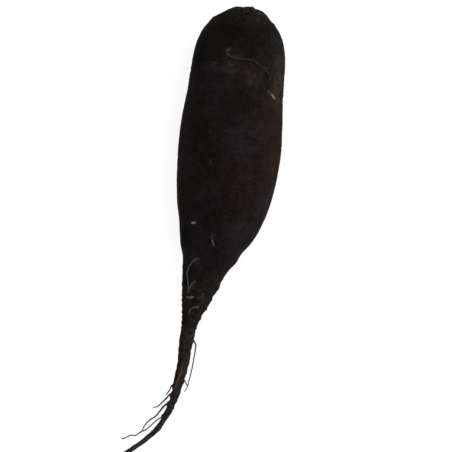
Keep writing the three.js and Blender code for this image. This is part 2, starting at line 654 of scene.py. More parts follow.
class SharedEffects:
    """The effects that several finishes use, each built once as a node group."""

    def __init__(self) -> None:
        """Build the groups."""
        self.mottle = self._mottle()
        self.grain = self._grain()
        self.cork = self._cork()
        self.oval = self._oval()

    @staticmethod
    def _mottle() -> NodeTree:
        """Build the uneven patches of colour.

        Returns:
            The group.
        """
        graph, given, made = SharedGroup(
            "Mottle",
            {"Place": SocketKind.VECTOR, "Patch": SocketKind.VECTOR},
            {"Patches": SocketKind.NUMBER, "Clouds": SocketKind.NUMBER},
        ).start()
        place = graph.vector("DIVIDE", given.outputs["Place"], given.outputs["Patch"])
        patches = graph.noise(place, 1.0, 3.0, 0.55)
        clouds = graph.noise(graph.vector("ADD", place, (7.1, 3.3, 9.7)), 0.37, 2.0, 0.5)
        for name, pattern in (("Patches", patches), ("Clouds", clouds)):
            graph.feed(made.inputs[name], graph.ramp(pattern, 0.36, 0.64))
        return graph.tree

    @staticmethod
    def _grain() -> NodeTree:
        """Build the fine lines that run one way over a surface.

        Returns:
            The group.
        """
        graph, given, made = SharedGroup(
            "Grain",
            {"Place": SocketKind.VECTOR, "Line": SocketKind.VECTOR},
            {"Lines": SocketKind.NUMBER, "Cracks": SocketKind.NUMBER},
        ).start()
        place = graph.vector("DIVIDE", given.outputs["Place"], given.outputs["Line"])
        lines = graph.noise(place, 1.0, 4.0, 0.6)
        creases = graph.noise(graph.vector("ADD", place, (4.7, 1.9, 8.3)), 0.6, 2.0)
        crease = graph.math("ABSOLUTE", graph.math("SUBTRACT", creases, 0.5))
        graph.feed(made.inputs["Lines"], lines)
        graph.feed(made.inputs["Cracks"], graph.ramp(crease, 0.0, 0.035, 1.0, 0.0))
        return graph.tree

    @staticmethod
    def _cork() -> NodeTree:
        """Build the small pores and grains of a corky surface.

        Returns:
            The group.
        """
        graph, given, made = SharedGroup(
            "Cork",
            {"Place": SocketKind.VECTOR, "Pore": SocketKind.VECTOR},
            {"Grains": SocketKind.NUMBER, "Specks": SocketKind.NUMBER},
        ).start()
        place = graph.vector("DIVIDE", given.outputs["Place"], given.outputs["Pore"])
        grains = graph.noise(place, 1.0, 2.0, 0.65)
        cells = graph.add("ShaderNodeTexVoronoi", feature="F1")
        uneven = graph.math("MULTIPLY", grains, 1.4)
        spread = graph.vector("ADD", graph.scaled(place, 0.17), uneven)
        graph.feed(cells.inputs["Vector"], spread)
        cells.inputs["Scale"].default_value = 1.0
        chosen = graph.add("ShaderNodeSeparateColor")
        graph.feed(chosen.inputs[0], cells.outputs["Color"])
        small = graph.ramp(cells.outputs["Distance"], 0.04, 0.2, 1.0, 0.0)
        few = graph.ramp(chosen.outputs[0], 0.5, 1.0)
        graph.feed(made.inputs["Grains"], grains)
        graph.feed(made.inputs["Specks"], graph.math("MULTIPLY", small, few))
        return graph.tree

    @staticmethod
    def _oval() -> NodeTree:
        """Build a ragged oval mark at one place.

        Returns:
            The group.
        """
        graph, given, made = SharedGroup(
            "Oval mark",
            {
                "Place": SocketKind.VECTOR,
                "Centre": SocketKind.VECTOR,
                "Turn": SocketKind.VECTOR,
                "Half Size": SocketKind.VECTOR,
                "Ragged": SocketKind.NUMBER,
                "Edge": SocketKind.NUMBER,
            },
            {"Mask": SocketKind.NUMBER},
        ).start()
        own = graph.add("ShaderNodeMapping", vector_type="TEXTURE")
        for socket, name in zip(own.inputs, ("Place", "Centre", "Turn", "Half Size")):
            graph.feed(socket, given.outputs[name])
        waver = graph.add("ShaderNodeTexNoise", noise_dimensions="3D")
        graph.feed(waver.inputs["Vector"], given.outputs["Place"])
        waver.inputs["Scale"].default_value = 0.9 / MM
        waver.inputs["Detail"].default_value = 2.0
        centred = graph.vector("SUBTRACT", waver.outputs["Color"], (0.5, 0.5, 0.5))
        strayed = graph.scaled(centred, given.outputs["Ragged"])
        moved = graph.vector("ADD", own.outputs["Vector"], strayed)
        out = graph.vector("LENGTH", moved, output="Value")
        inner = graph.math("SUBTRACT", 1.0, given.outputs["Edge"])
        graph.feed(made.inputs["Mask"], graph.ramp(out, inner, 1.0, 1.0, 0.0))
        return graph.tree


def new_material(name: str) -> tuple[bpy.types.Material, Graph, Node]:
    """Start a material.

    Args:
        name: The material's name.

    Returns:
        The material, a graph on it and its surface shader.
    """
    material = bpy.data.materials.new(name)
    material.use_nodes = True
    graph = Graph(material.node_tree)
    return material, graph, material.node_tree.nodes["Principled BSDF"]


def dress(graph: Graph, surface: Node, colour: Socket, matt: Socket, height: Socket) -> None:
    """Give a surface its colour, its roughness and its fine relief.

    Args:
        graph: The material's graph.
        surface: Its surface shader.
        colour: The colour.
        matt: The roughness.
        height: How far the surface stands out, in metres, for its shading.
    """
    bump = graph.add("ShaderNodeBump")
    bump.inputs["Strength"].default_value = 1.0
    bump.inputs["Distance"].default_value = 1.0
    graph.feed(bump.inputs["Height"], height)
    graph.feed(surface.inputs["Base Color"], colour)
    graph.feed(surface.inputs["Roughness"], matt)
    graph.feed(surface.inputs["Normal"], bump.outputs["Normal"])


# ---- marks on the skin


class MarkKind(Enum):
    """What a mark on the skin is."""

    NICK = "nick"
    # Dents, darkened with painted shade.
    DENT_WITH_PAINTED_SHADE = "pit"
    RUST = "rust"
    PALE = "pale"
    SCUFF = "scuff"


@dataclass(frozen=True)
class SkinMark:
    """A mark at one place on the taproot's skin, in millimetres.

    Attributes:
        y: Where the taproot's axis is, along Y.
        angle: How far round from the top, in degrees, towards +X.
        around: Half its size round the taproot.
        along: Half its size along it.
        turn: How far it is turned on the skin, in degrees.
        ragged: How uneven its outline is, as a share of its size.
        edge: How soft its edge is, from 0 to 1.
        strength: How strongly it shows.
    """

    y: float
    angle: float
    around: float
    along: float
    turn: float = 0.0
    ragged: float = 0.6
    edge: float = 0.6
    strength: float = 1.0


# Each row is a SkinMark: y, angle, around, along, turn, ragged, edge, strength.
MARK_ROWS = {
    MarkKind.NICK: (
        (25.9, 51, 3.6, 1.2, -26, 0.6, 0.9, 0.62),
        (-49.3, -34, 3.0, 1.1, 26, 0.3, 0.9),
    ),
    # Dents, each darkened with painted shade. The broad, soft ones lay painted shade over whole
    # patches of the skin.
    MarkKind.DENT_WITH_PAINTED_SHADE: (
        (-55.6, -3, 0.9, 3.4, 10, 0.5, 0.6),
        (-144.6, -50, 1.2, 6.5, -6, 0.5, 0.8, 0.7),
        (66.5, 50, 16.0, 12.0, 0, 0.6, 0.8, 0.6),
        (70.0, -50, 14.0, 10.0, 0, 0.6, 0.8, 0.5),
        (42.0, -60, 18.0, 18.0, 0, 0.6, 0.9, 0.7),
        (15.0, 5, 18.0, 16.0, 0, 0.8, 0.95, 0.5),
        (-60.0, -58, 15.0, 20.0, 0, 0.6, 0.9, 0.9),
        (-132.0, 30, 6.0, 7.0, 0, 0.9, 0.95, 0.18),
        (-139.0, -48, 3.0, 5.0, 0, 0.9, 0.95, 0.35),
        (-149.5, 27, 2.3, 8.0, 0, 0.7, 0.95, 0.6),
        (-153.6, 18, 0.6, 1.0, 0, 0.7, 0.8, 0.7),
        (-157.5, -8, 0.7, 0.9, 0, 0.7, 0.8, 0.6),
        (75.0, 18, 1.8, 0.5, -10, 0.6, 0.8),
        (72.6, 38, 1.3, 0.8, 20, 0.6, 0.8),
    ),
    MarkKind.RUST: (
        (34.0, 60, 9.5, 20.0, -6, 0.9, 0.95, 0.25),
        (45.0, 60, 9.0, 12.0, 0, 0.9, 0.95, 0.4),
        (38.0, 17, 13.0, 9.0, -10, 0.9, 0.95, 0.35),
        (47.5, -6, 11.0, 7.0, 0, 0.9, 0.95, 0.3),
        (-12.0, 58, 10.0, 10.0, 0, 0.9, 0.95, 0.3),
        (-53.5, -1, 3.2, 5.5, 0, 0.9, 0.95, 0.45),
        (-72.0, -20, 6.0, 9.5, 0, 1.0, 0.95, 0.5),
        (-86.5, -16, 4.0, 6.0, 0, 1.0, 0.95, 0.45),
        (-92.2, -26, 1.4, 3.4, -4, 0.8, 0.9, 0.6),
        (-98.2, -22, 1.8, 4.2, -4, 0.8, 0.9, 0.55),
        (-103.0, -4, 3.4, 4.6, 0, 1.0, 0.95, 0.4),
        (-120.0, -10, 4.5, 8.0, 0, 1.0, 0.95, 0.4),
        (-139.0, 4, 3.0, 6.0, 0, 0.7, 0.95),
        (-152.0, 2, 2.3, 12.0, 0, 0.8, 0.95),
        (-172.0, -20, 1.6, 3.0, 0, 0.8, 0.95, 0.5),
    ),
    MarkKind.PALE: (
        (28.4, 43, 3.2, 1.0, -26, 0.6, 0.9, 0.5),
        (50.7, -14, 2.2, 1.3, 0, 0.6, 0.9, 0.35),
        (-149.5, -18, 2.8, 5.5, 0, 0.9, 0.95, 0.28),
        (-159.0, 2, 1.8, 2.6, 0, 0.9, 0.95, 0.2),
        (-129.5, -12, 3.0, 2.6, 0, 0.9, 0.95, 0.16),
        (-140.2, -2, 2.0, 0.8, 8, 0.6, 0.9, 0.3),
        (-162.0, -22, 1.8, 1.3, 0, 0.8, 0.9, 0.45),
        (-171.4, -50, 1.0, 1.0, 0, 0.8, 0.9, 0.4),
        (-91.6, 18, 2.6, 2.8, 0, 0.8, 0.95, 0.32),
        (75.0, 44, 1.0, 0.6, 0, 0.6),
        (73.9, 48, 0.8, 0.6, 0, 0.6, 0.6, 0.9),
        (65.5, -47, 2.4, 1.9, 20, 0.8, 0.95, 0.3),
        (46.6, 18, 0.9, 0.3, 0, 0.6, 0.9, 0.5),
        (33.3, -7, 2.3, 0.8, 28, 0.8, 0.95, 0.3),
        (1.4, -23, 1.1, 0.9, 0, 0.7, 0.95, 0.35),
        (2.0, -6, 0.9, 0.8, 0, 0.7, 0.95, 0.3),
        (-14.5, -19, 0.9, 2.8, 18, 0.6, 0.95, 0.4),
        (-145.6, -10, 0.85, 9.5, -7, 0.35, 0.85),
        (-149.6, -16, 0.8, 3.4, -12, 0.4, 0.85, 0.9),
        (41.4, -50, 5.5, 0.7, 14, 0.4, 0.9, 0.3),
        (42.2, -32, 7.0, 0.7, -5, 0.4, 0.9, 0.35),
        (46.9, -2, 5.0, 1.6, 6, 0.6, 0.95, 0.2),
    ),
    MarkKind.SCUFF: (
        (33.0, 62, 13.0, 21.0, -6, 0.9, 0.9, 0.6),
        (39.6, -33, 14.0, 4.6, 5, 0.35, 0.9, 0.8),
        (40.2, -10, 9.5, 6.0, 0, 0.35, 0.9),
        (34.5, 14, 13.0, 5.0, -22, 0.35, 0.9, 0.4),
        (75.6, 20, 6.0, 2.2, 0, 0.6, 0.9, 0.6),
        (75.9, -32, 6.0, 1.8, 0, 0.6, 0.9, 0.6),
    ),
}

SKIN_MARKS = {
    kind: tuple(itertools.starmap(SkinMark, rows)) for kind, rows in MARK_ROWS.items()
}


# ---- finishes


class SkinPatterns:
    """The patterns that the skin's colour and its fine relief share.

    Attributes:
        down: How far from the crown a point is.
        near_crown: How near the crown it is, from 0 to 1.
        on_tail: How far onto the tail it is, from 0 to 1.
        lengthwise: How much the fine lines run along the taproot there.
        relief: How far it stands out or lies back, from -1 to 1, which sets its painted shade
            and painted highlight.
        patches: Large patches.
        clouds: Still larger ones.
        blotches: Small patches.
        lines: Fine lines, round the body and along the crown and the tail.
        cracks: Fine cracks round the taproot.
        grains: Corky grains.
        specks: Scattered pale specks.
        scratches: Patches of dry scratches.
    """

    def __init__(
        self, graph: Graph, effects: SharedEffects, crown_reach: Span, tail_reach: Span
    ) -> None:
        """Place the patterns in a material.

        Args:
            graph: The material's graph.
            effects: The shared effects.
            crown_reach: How far down from the crown its skin starts to fade, and ends.
            tail_reach: Where the tail's skin starts, and is full.
        """
        straight = graph.point_value("straight", "Vector")
        split = graph.add("ShaderNodeSeparateXYZ")
        graph.feed(split.inputs[0], straight)
        self.down = split.outputs["Y"]
        self.near_crown = graph.ramp(self.down, *crown_reach, 1.0, 0.0)
        self.on_tail = graph.ramp(self.down, *tail_reach)
        self.lengthwise = graph.math("MAXIMUM", self.near_crown, self.on_tail)
        self.relief = graph.point_value("relief", "Fac")
        mottle, grain, cork = effects.mottle, effects.grain, effects.cork
        large = graph.group(mottle, Place=straight, Patch=(9 * MM, 13 * MM, 9 * MM))
        small = graph.group(mottle, Place=straight, Patch=(3.1 * MM, 3.7 * MM, 3.1 * MM))
        wraps = graph.group(grain, Place=straight, Line=(6 * MM, 1.1 * MM, 6 * MM))
        runs = graph.group(grain, Place=straight, Line=(1.2 * MM, 6 * MM, 1.2 * MM))
        dry = graph.group(grain, Place=straight, Line=(5 * MM, 0.9 * MM, 5 * MM))
        pores = graph.group(cork, Place=straight, Pore=(0.9 * MM, 0.8 * MM, 0.9 * MM))
        self.patches = large.outputs["Patches"]
        self.clouds = large.outputs["Clouds"]
        self.blotches = small.outputs["Patches"]
        both = wraps.outputs["Lines"], runs.outputs["Lines"]
        self.lines = graph.mix(self.lengthwise, *both, kind="FLOAT")
        self.cracks = graph.math("MULTIPLY", wraps.outputs["Cracks"], small.outputs["Clouds"])
        self.grains = pores.outputs["Grains"]
        self.specks = pores.outputs["Specks"]
        scratched = graph.ramp(dry.outputs["Lines"], 0.44, 0.66, 0.18, 0.85)
        patchy = graph.math("MULTIPLY_ADD", self.blotches, 0.7, 0.3)
        self.scratches = graph.math("MULTIPLY", scratched, patchy)


@dataclass(frozen=True)
class SkinZone:
    """A ground colour that part of the skin turns to.

    Attributes:
        colour: The colour.
        reach: How far down from the crown it starts to take over, and has done so.
        share: How much of it shows at those two places, apart from its patches.
        patchy: How much more of it shows in them.
    """

    colour: Colour
    reach: Span
    share: Span
    patchy: float


@dataclass(frozen=True)
class SkinFinish:
    """The taproot's matt, corky, near-black skin.

    Attributes:
        olive: The skin of the shoulder.
        brown: The skin of the middle.
        plum: The skin further down.
        neck: The skin of the neck and the upper tail.
        crown: The rougher skin round the crown.
        tail: The greyer skin of the lower tail.
        deep: The painted shade in hollows, cracks and dents.
        rust: The brown round old side roots.
        bare: The flesh that shows in a nick.
        dust: Dry scuffs, pale marks and specks, and the paler raised lips near the crown, which
            are partly a painted highlight.
        crown_reach: How far down from the crown the rough skin starts to fade, and ends.
        tail_reach: Where the tail starts to turn grey, and is wholly grey.
        blotchy: How much the small patches change the tone.
        cloudy: How much the large ones do.
        streaky: How much more the fine lines do where they run lengthwise, and elsewhere.
        grainy: How much more the grains do near the crown, and elsewhere.
        darkest: The least that the tone may be.
        painted_hollow_shade: How dark the painted shade in the hollows gets.
        rusty: How much more rust shows in small patches, and outside them.
        speckled: How much more the specks show near the crown, and elsewhere.
        painted_crack_shade: The same for the painted shade in the cracks.
        mark_depth: How far under the skin a mark reaches.
        roughness: How matt the skin is where it is smooth, and where it is grainy.
        shine: How much light it throws back. Most things have 0.5.
    """

    olive: Colour = (24, 22, 19)
    brown: SkinZone = SkinZone((30, 24, 22), (22 * MM, 62 * MM), (-0.35, 0.75), 0.6)
    plum: SkinZone = SkinZone((33, 29, 33), (95 * MM, 145 * MM), (-0.5, 0.15), 0.9)
    neck: SkinZone = SkinZone((32, 30, 27), (140 * MM, 185 * MM), (-0.4, 1.0), 0.5)
    crown: Colour = (35, 31, 25)
    tail: Colour = (50, 45, 45)
    deep: Colour = (14, 11, 10)
    rust: Colour = (66, 50, 42)
    bare: Colour = (150, 142, 127)
    dust: Colour = (76, 72, 63)
    crown_reach: Span = (4 * MM, 17 * MM)
    tail_reach: Span = (175 * MM, 265 * MM)
    blotchy: float = 0.34
    cloudy: float = 0.22
    streaky: Span = (1.7, 0.8)
    grainy: Span = (3.6, 1.9)
    darkest: float = 0.25
    painted_hollow_shade: float = 0.7
    rusty: Span = (0.6, 0.4)
    speckled: Span = (0.75, 0.14)
    painted_crack_shade: Span = (0.5, 0.22)
    mark_depth: float = 5 * MM
    roughness: Span = (0.72, 0.9)
    shine: float = 0.02

    def make(self, effects: SharedEffects, taproot: "Taproot") -> bpy.types.Material:
        """Build the material.

        Args:
            effects: The shared effects.
            taproot: The taproot, which places the marks.

        Returns:
            The material.
        """
        material, graph, surface = new_material("radish_skin")
        patterns = SkinPatterns(graph, effects, self.crown_reach, self.tail_reach)
        place = graph.add("ShaderNodeTexCoord").outputs["Object"]
        masks = {
            kind: self._marked(graph, effects, taproot, place, marks)
            for kind, marks in SKIN_MARKS.items()
        }
        scuff = graph.math("MULTIPLY", masks[MarkKind.SCUFF], patterns.scratches)
        colour = self._toned(graph, patterns, self._ground(graph, patterns))
        colour = self._weathered(graph, patterns, masks, scuff, colour)
        height = graph.sum_of(
            (
                (patterns.lines, 0.14 * MM),
                (patterns.grains, 0.12 * MM),
                (patterns.cracks, -0.10 * MM),
                (masks[MarkKind.NICK], -0.3 * MM),
                (masks[MarkKind.DENT_WITH_PAINTED_SHADE], -0.5 * MM),
                (scuff, 0.05 * MM),
            )
        )
        matt = graph.ramp(patterns.grains, 0.3, 0.7, *self.roughness)
        dress(graph, surface, colour, matt, height)
        surface.inputs["Specular IOR Level"].default_value = self.shine
        return material

    def _ground(self, graph: Graph, patterns: SkinPatterns) -> Socket:
        """Mix the skin's own colours, from the crown to the tail.

        Args:
            graph: The material's graph.
            patterns: The skin's patterns.

        Returns:
            The colour.
        """
        colour: Value = shade(self.olive)
        for zone, patches in (
            (self.brown, patterns.patches),
            (self.plum, patterns.clouds),
            (self.neck, patterns.patches),
        ):
            share = graph.ramp(patterns.down, *zone.reach, *zone.share)
            share = graph.math("MULTIPLY_ADD", patches, zone.patchy, share, clamp=True)
            colour = graph.mix(share, colour, shade(zone.colour))
        colour = graph.mix(patterns.near_crown, colour, shade(self.crown))
        return graph.mix(patterns.on_tail, colour, shade(self.tail))

    def _toned(self, graph: Graph, patterns: SkinPatterns, colour: Socket) -> Socket:
        """Make the colour uneven: blotched, streaked and grainy.

        Args:
            graph: The material's graph.
            patterns: The skin's patterns.
            colour: The even colour.

        Returns:
            The uneven colour.
        """
        streaked = graph.math("MULTIPLY_ADD", patterns.lengthwise, *self.streaky)
        streaks = graph.math("MULTIPLY", graph.math("SUBTRACT", patterns.lines, 0.5), streaked)
        grained = graph.math("MULTIPLY_ADD", patterns.near_crown, *self.grainy)
        grains = graph.math("MULTIPLY", graph.math("SUBTRACT", patterns.grains, 0.5), grained)
        changes = graph.sum_of(
            (
                (grains, 1.0),
                (patterns.blotches, self.blotchy),
                (patterns.clouds, self.cloudy),
                (streaks, 1.0),
            )
        )
        tone = graph.math("ADD", changes, 1.0 - (self.blotchy + self.cloudy) / 2)
        return graph.scaled(colour, graph.math("MAXIMUM", tone, self.darkest))

    def _weathered(
        self,
        graph: Graph,
        patterns: SkinPatterns,
        masks: dict[MarkKind, Value],
        scuff: Socket,
        colour: Socket,
    ) -> Socket:
        """Lay the painted shade in hollows, cracks and dents, the stains, scuffs, pale marks
        and specks, the partly painted highlight on the worn lips, and the wounds over the
        colour.

        Args:
            graph: The material's graph.
            patterns: The skin's patterns.
            masks: Where each kind of mark is.
            scuff: Where dry scratches show.
            colour: The colour so far.

        Returns:
            The finished colour.
        """
        near_crown = patterns.near_crown
        # Painted shade: the skin is darkened towards the deep colour where its relief lies
        # back.
        painted_hollow_shade = graph.ramp(patterns.relief, -0.15, -1.0, 0.0, self.painted_hollow_shade)
        rusty = graph.math("MULTIPLY_ADD", patterns.blotches, *self.rusty)
        rust = graph.math("MULTIPLY", masks[MarkKind.RUST], rusty)
        speckled = graph.math("MULTIPLY_ADD", near_crown, *self.speckled)
        specks = graph.math("MULTIPLY", patterns.specks, speckled)
        # Partly wear, partly a painted highlight: the raised scar lips near the crown are paled
        # towards the dust colour.
        worn_lip_highlight = graph.ramp(patterns.relief, 0.3, 0.9)
        worn = graph.math("MULTIPLY", worn_lip_highlight, near_crown)
        broken = graph.ramp(patterns.grains, 0.42, 0.6, 0.05, 0.65)
        specks = graph.math("MAXIMUM", specks, graph.math("MULTIPLY", worn, broken))
        pale = graph.math("MAXIMUM", masks[MarkKind.PALE], specks)
        # Painted shade: the fine cracks are darkened towards the deep colour, more near the
        # crown.
        painted_crack_shade = graph.math("MULTIPLY_ADD", near_crown, *self.painted_crack_shade)
        cracks = graph.math("MULTIPLY", patterns.cracks, painted_crack_shade)
        # The deep colour here is painted shade. The dust colour is real scuffs and pale marks,
        # and on the worn lips it is partly a painted highlight.
        for mask, over in (
            (painted_hollow_shade, self.deep),
            (rust, self.rust),
            (scuff, self.dust),
            (pale, self.dust),
            (cracks, self.deep),
            (masks[MarkKind.DENT_WITH_PAINTED_SHADE], self.deep),
            (masks[MarkKind.NICK], self.bare),
        ):
            colour = graph.mix(mask, colour, shade(over))
        return colour

    def _marked(
        self,
        graph: Graph,
        effects: SharedEffects,
        taproot: "Taproot",
        place: Socket,
        marks: Iterable[SkinMark],
    ) -> Value:
        """Gather the marks of one kind.

        Args:
            graph: The material's graph.
            effects: The shared effects.
            taproot: The taproot, which places the marks.
            place: The place on the surface.
            marks: The marks.

        Returns:
            How much of such a mark shows, from 0 to 1.
        """
        total: Value = 0.0
        for mark in marks:
            centre, turn = taproot.spot(mark.y * MM, mark.angle, mark.turn)
            oval = graph.group(
                effects.oval,
                Place=place,
                Centre=centre,
                Turn=turn,
                Half_Size=(mark.around * MM, mark.along * MM, self.mark_depth),
                Ragged=mark.ragged,
                Edge=mark.edge,
            )
            shown = graph.math("MULTIPLY", oval.outputs["Mask"], mark.strength)
            total = graph.math("MAXIMUM", total, shown)
        return total


@dataclass(frozen=True)
class RootletFinish:
    """The dry skin of a side root.

    Attributes:
        name: The material's name.
        base: Its colour where it leaves the taproot.
        tip: Its colour at its end.
        ring: The colour of its darker patches, and the painted shade in the fine creases of its
            rings.
        uneven: How much of that colour its patches take on.
        crease_depth_and_shade: How much of it its creases show, as painted shade, and how deep
            they are.
        roughness: How matt it is at its smoothest, and at its roughest.
        shine: How much light it throws back.
    """

    name: str
    base: Colour
    tip: Colour
    ring: Colour
    uneven: float = 0.45
    crease_depth_and_shade: float = 0.7
    roughness: Span = (0.67, 0.85)
    shine: float = 0.25

    def make(self, effects: SharedEffects) -> bpy.types.Material:
        """Build the material.

        Args:
            effects: The shared effects.

        Returns:
            The material.
        """
        material, graph, surface = new_material(self.name)
        straight = graph.point_value("straight", "Vector")
        reach = graph.point_value("reach", "Fac")
        grain = effects.grain
        rings = graph.group(grain, Place=straight, Line=(1.4 * MM, 0.3 * MM, 1.4 * MM))
        fibres = graph.group(grain, Place=straight, Line=(0.2 * MM, 2.5 * MM, 0.2 * MM))
        mottle = graph.group(effects.mottle, Place=straight, Patch=(1 * MM, 1.7 * MM, 1 * MM))
        colour = graph.mix(reach, shade(self.base), shade(self.tip))
        patched = graph.math("MULTIPLY", mottle.outputs["Patches"], self.uneven)
        colour = graph.mix(patched, colour, shade(self.ring))
        # Painted shade: the fine creases are darkened towards the ring colour.
        crease_depth_and_shade = graph.math("MULTIPLY", rings.outputs["Cracks"], self.crease_depth_and_shade)
        colour = graph.mix(crease_depth_and_shade, colour, shade(self.ring))
        height = graph.sum_of(
            (
                (rings.outputs["Lines"], 0.06 * MM),
                (fibres.outputs["Lines"], 0.05 * MM),
                (crease_depth_and_shade, -0.04 * MM),
            )
        )
        matt = graph.ramp(mottle.outputs["Patches"], 0.0, 1.0, *self.roughness)
        dress(graph, surface, colour, matt, height)
        surface.inputs["Specular IOR Level"].default_value = self.shine
        return material


@dataclass(frozen=True)
class StalkFinish:
    """A cut and dried leaf stalk.

    Attributes:
        side: The brown outside.
        groove_shade_and_weathering: The painted shade in the grooves between the fibres down
            the outside, and the colour of weathered patches.
        cut: The cut end.
        pith: The middle of the cut end.
        roughness: How matt the outside is, and the cut end.
        shine: How much light it throws back.
    """

    side: Colour = (62, 53, 41)
    groove_shade_and_weathering: Colour = (29, 24, 20)
    cut: Colour = (98, 88, 70)
    pith: Colour = (56, 47, 36)
    roughness: Span = (0.75, 0.95)
    shine: float = 0.25

    def make(self, name: str, effects: SharedEffects, age: float) -> bpy.types.Material:
        """Build the material.

        Args:
            name: The material's name.
            effects: The shared effects.
            age: How weathered the stalk is, from 0 to 1.

        Returns:
            The material.
        """
        material, graph, surface = new_material(name)
        straight = graph.point_value("straight", "Vector")
        cut_end = graph.point_value("cut", "Fac")
        mottle, grain, cork = effects.mottle, effects.grain, effects.cork
        fibres = graph.group(grain, Place=straight, Line=(0.35 * MM, 3 * MM, 0.35 * MM))
        patches = graph.group(mottle, Place=straight, Patch=(1.2 * MM, 1.5 * MM, 1.2 * MM))
        pores = graph.group(cork, Place=straight, Pore=(0.22 * MM,) * 3)
        # Painted shade: the outside is darker in the grooves between the fibres, where the
        # relief lies low.
        dark = graph.ramp(fibres.outputs["Lines"], 0.35, 0.65, 0.85, 0.1)
        side = graph.mix(dark, shade(self.side), shade(self.groove_shade_and_weathering))
        pithy = graph.ramp(pores.outputs["Grains"], 0.35, 0.65, 0.15, 0.9)
        cut = graph.mix(pithy, shade(self.cut), shade(self.pith))
        colour = graph.mix(graph.ramp(cut_end, 0.35, 0.75), side, cut)
        weathered = graph.ramp(patches.outputs["Patches"], 0.1, 0.9, age, age * 0.35)
        colour = graph.mix(weathered, colour, shade(self.groove_shade_and_weathering))
        height = graph.sum_of(
            (
                (fibres.outputs["Lines"], 0.16 * MM),
                (pores.outputs["Grains"], 0.08 * MM),
                (fibres.outputs["Cracks"], -0.08 * MM),
            )
        )
        matt = graph.ramp(cut_end, 0.0, 1.0, *self.roughness)
        dress(graph, surface, colour, matt, height)
        surface.inputs["Specular IOR Level"].default_value = self.shine
        return material


@dataclass(frozen=True)
class FloorFinish:
    """A plain pale floor that shows white, with the object's shadow on it.

    Attributes:
        paper: The floor's colour.
        glow: How much white the floor shows by itself to the eye.
        roughness: How matt it is.
        shine: How much light it throws back.
    """

    paper: Colour = (160, 160, 160)
    glow: float = 0.8
    roughness: float = 0.9
    shine: float = 0.1

    def make(self) -> bpy.types.Material:
        """Build the material.

        Returns:
            The material, which can't be seen from below.
        """
        material, graph, surface = new_material("pale_floor")
        surface.inputs["Base Color"].default_value = shade(self.paper)
        surface.inputs["Roughness"].default_value = self.roughness
        surface.inputs["Specular IOR Level"].default_value = self.shine
        path = graph.add("ShaderNodeLightPath")
        seen = path.outputs["Is Camera Ray"]
        for ray in ("Is Glossy Ray", "Is Transmission Ray"):
            seen = graph.math("MAXIMUM", seen, path.outputs[ray])
        light = graph.add("ShaderNodeEmission")
        light.inputs["Color"].default_value = WHITE
        graph.feed(light.inputs["Strength"], graph.math("MULTIPLY", seen, self.glow))
        both = graph.add("ShaderNodeAddShader")
        from_below = graph.add("ShaderNodeMixShader")
        clear = graph.add("ShaderNodeBsdfTransparent")
        below = graph.add("ShaderNodeNewGeometry").outputs["Backfacing"]
        for node, sources in (
            (both, (surface.outputs[0], light.outputs[0])),
            (from_below, (below, both.outputs[0], clear.outputs[0])),
        ):
            for socket, source in zip(node.inputs, sources):
                graph.feed(socket, source)
        output = graph.tree.nodes["Material Output"]
        graph.feed(output.inputs["Surface"], from_below.outputs[0])
        return material


# ---- the taproot


@dataclass(frozen=True)
class Knob:
    """A swelling on the taproot, or a dent, in millimetres.

    Attributes:
        y: Where the taproot's axis is, along Y.
        angle: How far round from the top, in degrees, towards +X.
        reach: How wide it is.
        height: How far it stands out. A dent is less than 0.
    """

    y: float
    angle: float
    reach: float
    height: float


# Each row is a Knob: y, angle, reach, height.
KNOB_ROWS = (
    (77.2, -70, 4.2, -1.15), (71.6, -86, 3.2, 0.75), (73.8, 86, 1.7, -1.2),
    (70.6, 88, 2.2, 0.5), (75.0, 66, 2.6, 0.5), (77.0, -18, 2.6, 0.45),
    (65.0, 88, 6.5, 0.95), (-36.0, -90, 16.0, 0.55), (12.0, 88, 30.0, 0.4),
    (-69.0, -88, 6.0, 0.85), (-78.5, -88, 4.0, 0.3), (-69.0, 88, 4.5, 1.1),
    (-87.0, 88, 3.4, 1.1), (-104.0, -88, 5.0, 0.45), (-104.5, 88, 6.0, -0.7),
    (-122.0, -88, 4.5, 0.6), (-90.8, 90, 1.5, 0.35), (-94.4, 84, 1.4, 0.45),
    (-97.4, 90, 1.3, -0.3), (-100.6, 90, 1.5, 0.5), (-104.2, 90, 1.4, -0.35),
    (-107.9, 86, 1.5, 0.45), (-113.5, 84, 1.3, 0.4), (-117.8, 84, 1.2, 0.45),
    (-93.0, -18, 1.6, 0.3), (-99.2, 22, 1.5, 0.4), (-68.6, -12, 1.8, 0.35),
    (-82.4, -9, 1.5, 0.3), (-121.5, 80, 1.3, 0.5), (-141.8, 88, 1.1, 0.4),
    (-147.3, 86, 1.1, 0.45), (-151.2, -86, 1.1, 0.6), (-155.5, 86, 3.6, 0.55),
    (-168.0, -86, 4.5, 0.45), (-113.5, -88, 5.0, 0.4), (-128.5, -88, 4.5, 0.35),
    (-128.5, 88, 4.0, -0.4), (-177.5, 80, 3.0, 0.4), (-182.5, 80, 3.0, -0.3),
    (-154.2, -86, 1.5, -0.55), (-156.8, -84, 1.0, 0.4), (-159.6, -84, 1.3, -0.35),
    (-159.7, 88, 1.0, 0.45), (-162.2, -84, 1.2, 0.8), (-163.8, 86, 0.9, 0.4),
    (-166.0, -84, 1.4, -0.3), (-170.6, -84, 1.2, 0.8), (-183.0, -84, 2.4, 0.35),
    (-189.6, -80, 1.6, 0.4), (-54.5, 178, 2.4, 0.5), (-70.0, 150, 2.0, 0.5),
    (-83.0, -150, 1.8, 0.5), (-101.0, 170, 1.4, 0.45), (-128.0, 160, 1.2, 0.4),
)

KNOBS = tuple(itertools.starmap(Knob, KNOB_ROWS))


